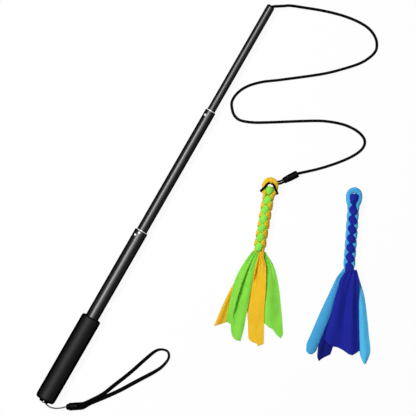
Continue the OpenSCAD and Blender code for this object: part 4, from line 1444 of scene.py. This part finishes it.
class FinishPieces(Operator):
    """Gives the tubes, rings, plugs and other rigid pieces their finishes"""

    bl_idname = "flirt_pole.finish_pieces"
    bl_label = "Finish rigid pieces"

    def execute(self, context):
        colours = context.scene.flirt_pole_finish
        tube = tube_material("Black anodised tube", colours.tube)
        plastic = plastic_material("Black plastic", colours.plastic)
        metal = metal_material("Bare metal", colours.metal, rough=0.5, metallic=0.5)
        plated = bpy.data.materials["Dull plated metal"]
        steel = metal_material("Spring steel", scaled(colours.metal, 0.7), rough=0.35)
        nylon = plastic_material("Natural nylon", colours.nylon)
        for material, names in (
            (tube, ("lower_tube", "middle_tube", "tip_tube")),
            (plastic, ("butt_cap", "tip_plug", "cord_sleeve", "strap_joiner", "stop_knot")),
            (metal, ("lower_mouth_ring", "upper_mouth_ring")),
            (plated, ("tip_rivet", "strap_pin")),
            (steel, ("lower_lock_spring", "upper_lock_spring")),
            (nylon, ("lower_mouth_bush", "upper_mouth_bush", "middle_guide", "tip_guide")),
        ):
            for name in names:
                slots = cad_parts[name].material_slots
                if not slots:
                    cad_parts[name].data.materials.append(material)
                for slot in slots:
                    slot.material = material
        return {"FINISHED"}


# The spot that the camera looks down on, and the floor's direction that is the picture's right
CAMERA_SPOT = (0.362, -0.067)
PICTURE_RIGHT = (0.4992, -0.8665)
FLOOR_MIDDLE = (0.36, -0.07)
FLOOR_HALF = 3
WORLD_STRENGTH = 0.12
# How much of the floor's look, to the camera and in gloss, is plain white
FLOOR_WHITE = 0.93
# Each lamp's place, the place that it points at, and its size, in metres
LAMPS = {
    "Strip lamp": ((0.35, 0.51, 1.2), (0.35, 0, 0), (1.4, 0.3)),
    "Top lamp": ((0.35, -0.2, 3.3), (0.35, -0.14, 0), (2.2, 2.2)),
}


class SetStage(Operator):
    """Sets the floor, the lamps, the world and the camera above the pole"""

    bl_idname = "flirt_pole.set_stage"
    bl_label = "Set stage"

    def execute(self, context):
        scene, stage = context.scene, context.scene.flirt_pole_stage
        scene.view_settings.view_transform = "Standard"
        camera = bpy.data.objects.new("Camera", bpy.data.cameras.new("Camera"))
        scene.collection.objects.link(camera)
        camera.location = at_height(CAMERA_SPOT, stage.camera_height)
        camera.rotation_euler = (0, 0, math.atan2(PICTURE_RIGHT[1], PICTURE_RIGHT[0]))
        camera.data.lens = camera.data.sensor_width * stage.camera_height / stage.picture_width
        scene.camera = camera

        bm = bmesh.new()
        bmesh.ops.create_grid(bm, x_segments=4, y_segments=4, size=FLOOR_HALF)
        bmesh.ops.translate(bm, verts=bm.verts, vec=at_height(FLOOR_MIDDLE, FLOOR))
        mesh = bpy.data.meshes.new("Floor")
        bm.to_mesh(mesh)
        bm.free()
        floor = bpy.data.objects.new("Floor", mesh)
        scene.collection.objects.link(floor)
        mesh.materials.append(self.floor_material(stage.floor))

        world = bpy.data.worlds.new("Studio")
        world.use_nodes = True
        background = world.node_tree.nodes["Background"].inputs
        background["Color"].default_value = (1, 1, 1, 1)
        background["Strength"].default_value = WORLD_STRENGTH
        scene.world = world

        self.lamp(scene, "Strip lamp", stage.strip_power)
        self.lamp(scene, "Top lamp", stage.top_power)
        return {"FINISHED"}

    def lamp(self, scene, name, power):
        place, target, size = LAMPS[name]
        data = bpy.data.lights.new(name, "AREA")
        data.shape = "RECTANGLE"
        data.size, data.size_y = size
        data.energy = power
        lamp = bpy.data.objects.new(name, data)
        scene.collection.objects.link(lamp)
        down = (Vector(place) - Vector(target)).normalized()
        side = Vector((1, 0, 0))
        lamp.matrix_world = section(Vector(place), side, down.cross(side), down)

    def floor_material(self, colour):
        look = Shader("Pale floor", Roughness=0.9, Specular_IOR_Level=0.1)
        grain = look.group(fine_grain, look.object_place(), Grain=900.0, Blotches=3.0)
        look.shades(grain["Blotches"], colour, dark=0.99, light=1.01)
        light = look.node("ShaderNodeLightPath").outputs
        seen = light["Is Camera Ray"]
        for ray in ("Is Glossy Ray", "Is Transmission Ray"):
            seen = maths(look.tree, "MAXIMUM", seen, light[ray])
        share = maths(look.tree, "MULTIPLY", seen, FLOOR_WHITE)
        white = look.node("ShaderNodeEmission").outputs[0]
        blend = look.node("ShaderNodeMixShader", {0: share, 1: look.shader.outputs[0], 2: white})
        look.link(blend.outputs[0], look.tree.nodes["Material Output"].inputs["Surface"])
        return look.material


STEPS = (SetStage, LayCords, LayStrap, BraidLures, SpreadTails, WrapGrip, FitLocks, FinishPieces)
SETTINGS = {
    "flirt_pole_cords": CordSettings,
    "flirt_pole_fleece": FleeceSettings,
    "flirt_pole_finish": FinishSettings,
    "flirt_pole_stage": StageSettings,
}


class FlirtPolePanel(Panel):
    """Lists the steps that dress the flirt pole, with their settings"""

    bl_idname = "VIEW3D_PT_flirt_pole"
    bl_label = "Flirt pole"
    bl_space_type = "VIEW_3D"
    bl_region_type = "UI"
    bl_category = "Flirt pole"

    def draw(self, context):
        for step in STEPS:
            self.layout.operator(step.bl_idname)
        for settings in SETTINGS:
            group = getattr(context.scene, settings)
            column = self.layout.column(heading=group.__doc__)
            for name in group.__annotations__:
                column.prop(group, name)


CLASSES = (*SETTINGS.values(), *STEPS, FlirtPolePanel)


def register():
    for item in CLASSES:
        bpy.utils.register_class(item)
    for name, group in SETTINGS.items():
        setattr(bpy.types.Scene, name, PointerProperty(type=group))


def unregister():
    for name in SETTINGS:
        delattr(bpy.types.Scene, name)
    for item in reversed(CLASSES):
        bpy.utils.unregister_class(item)


def main():
    register()
    for step in STEPS:
        group, name = step.bl_idname.split(".")
        getattr(getattr(bpy.ops, group), name)()


if __name__ == "__main__":
    main()
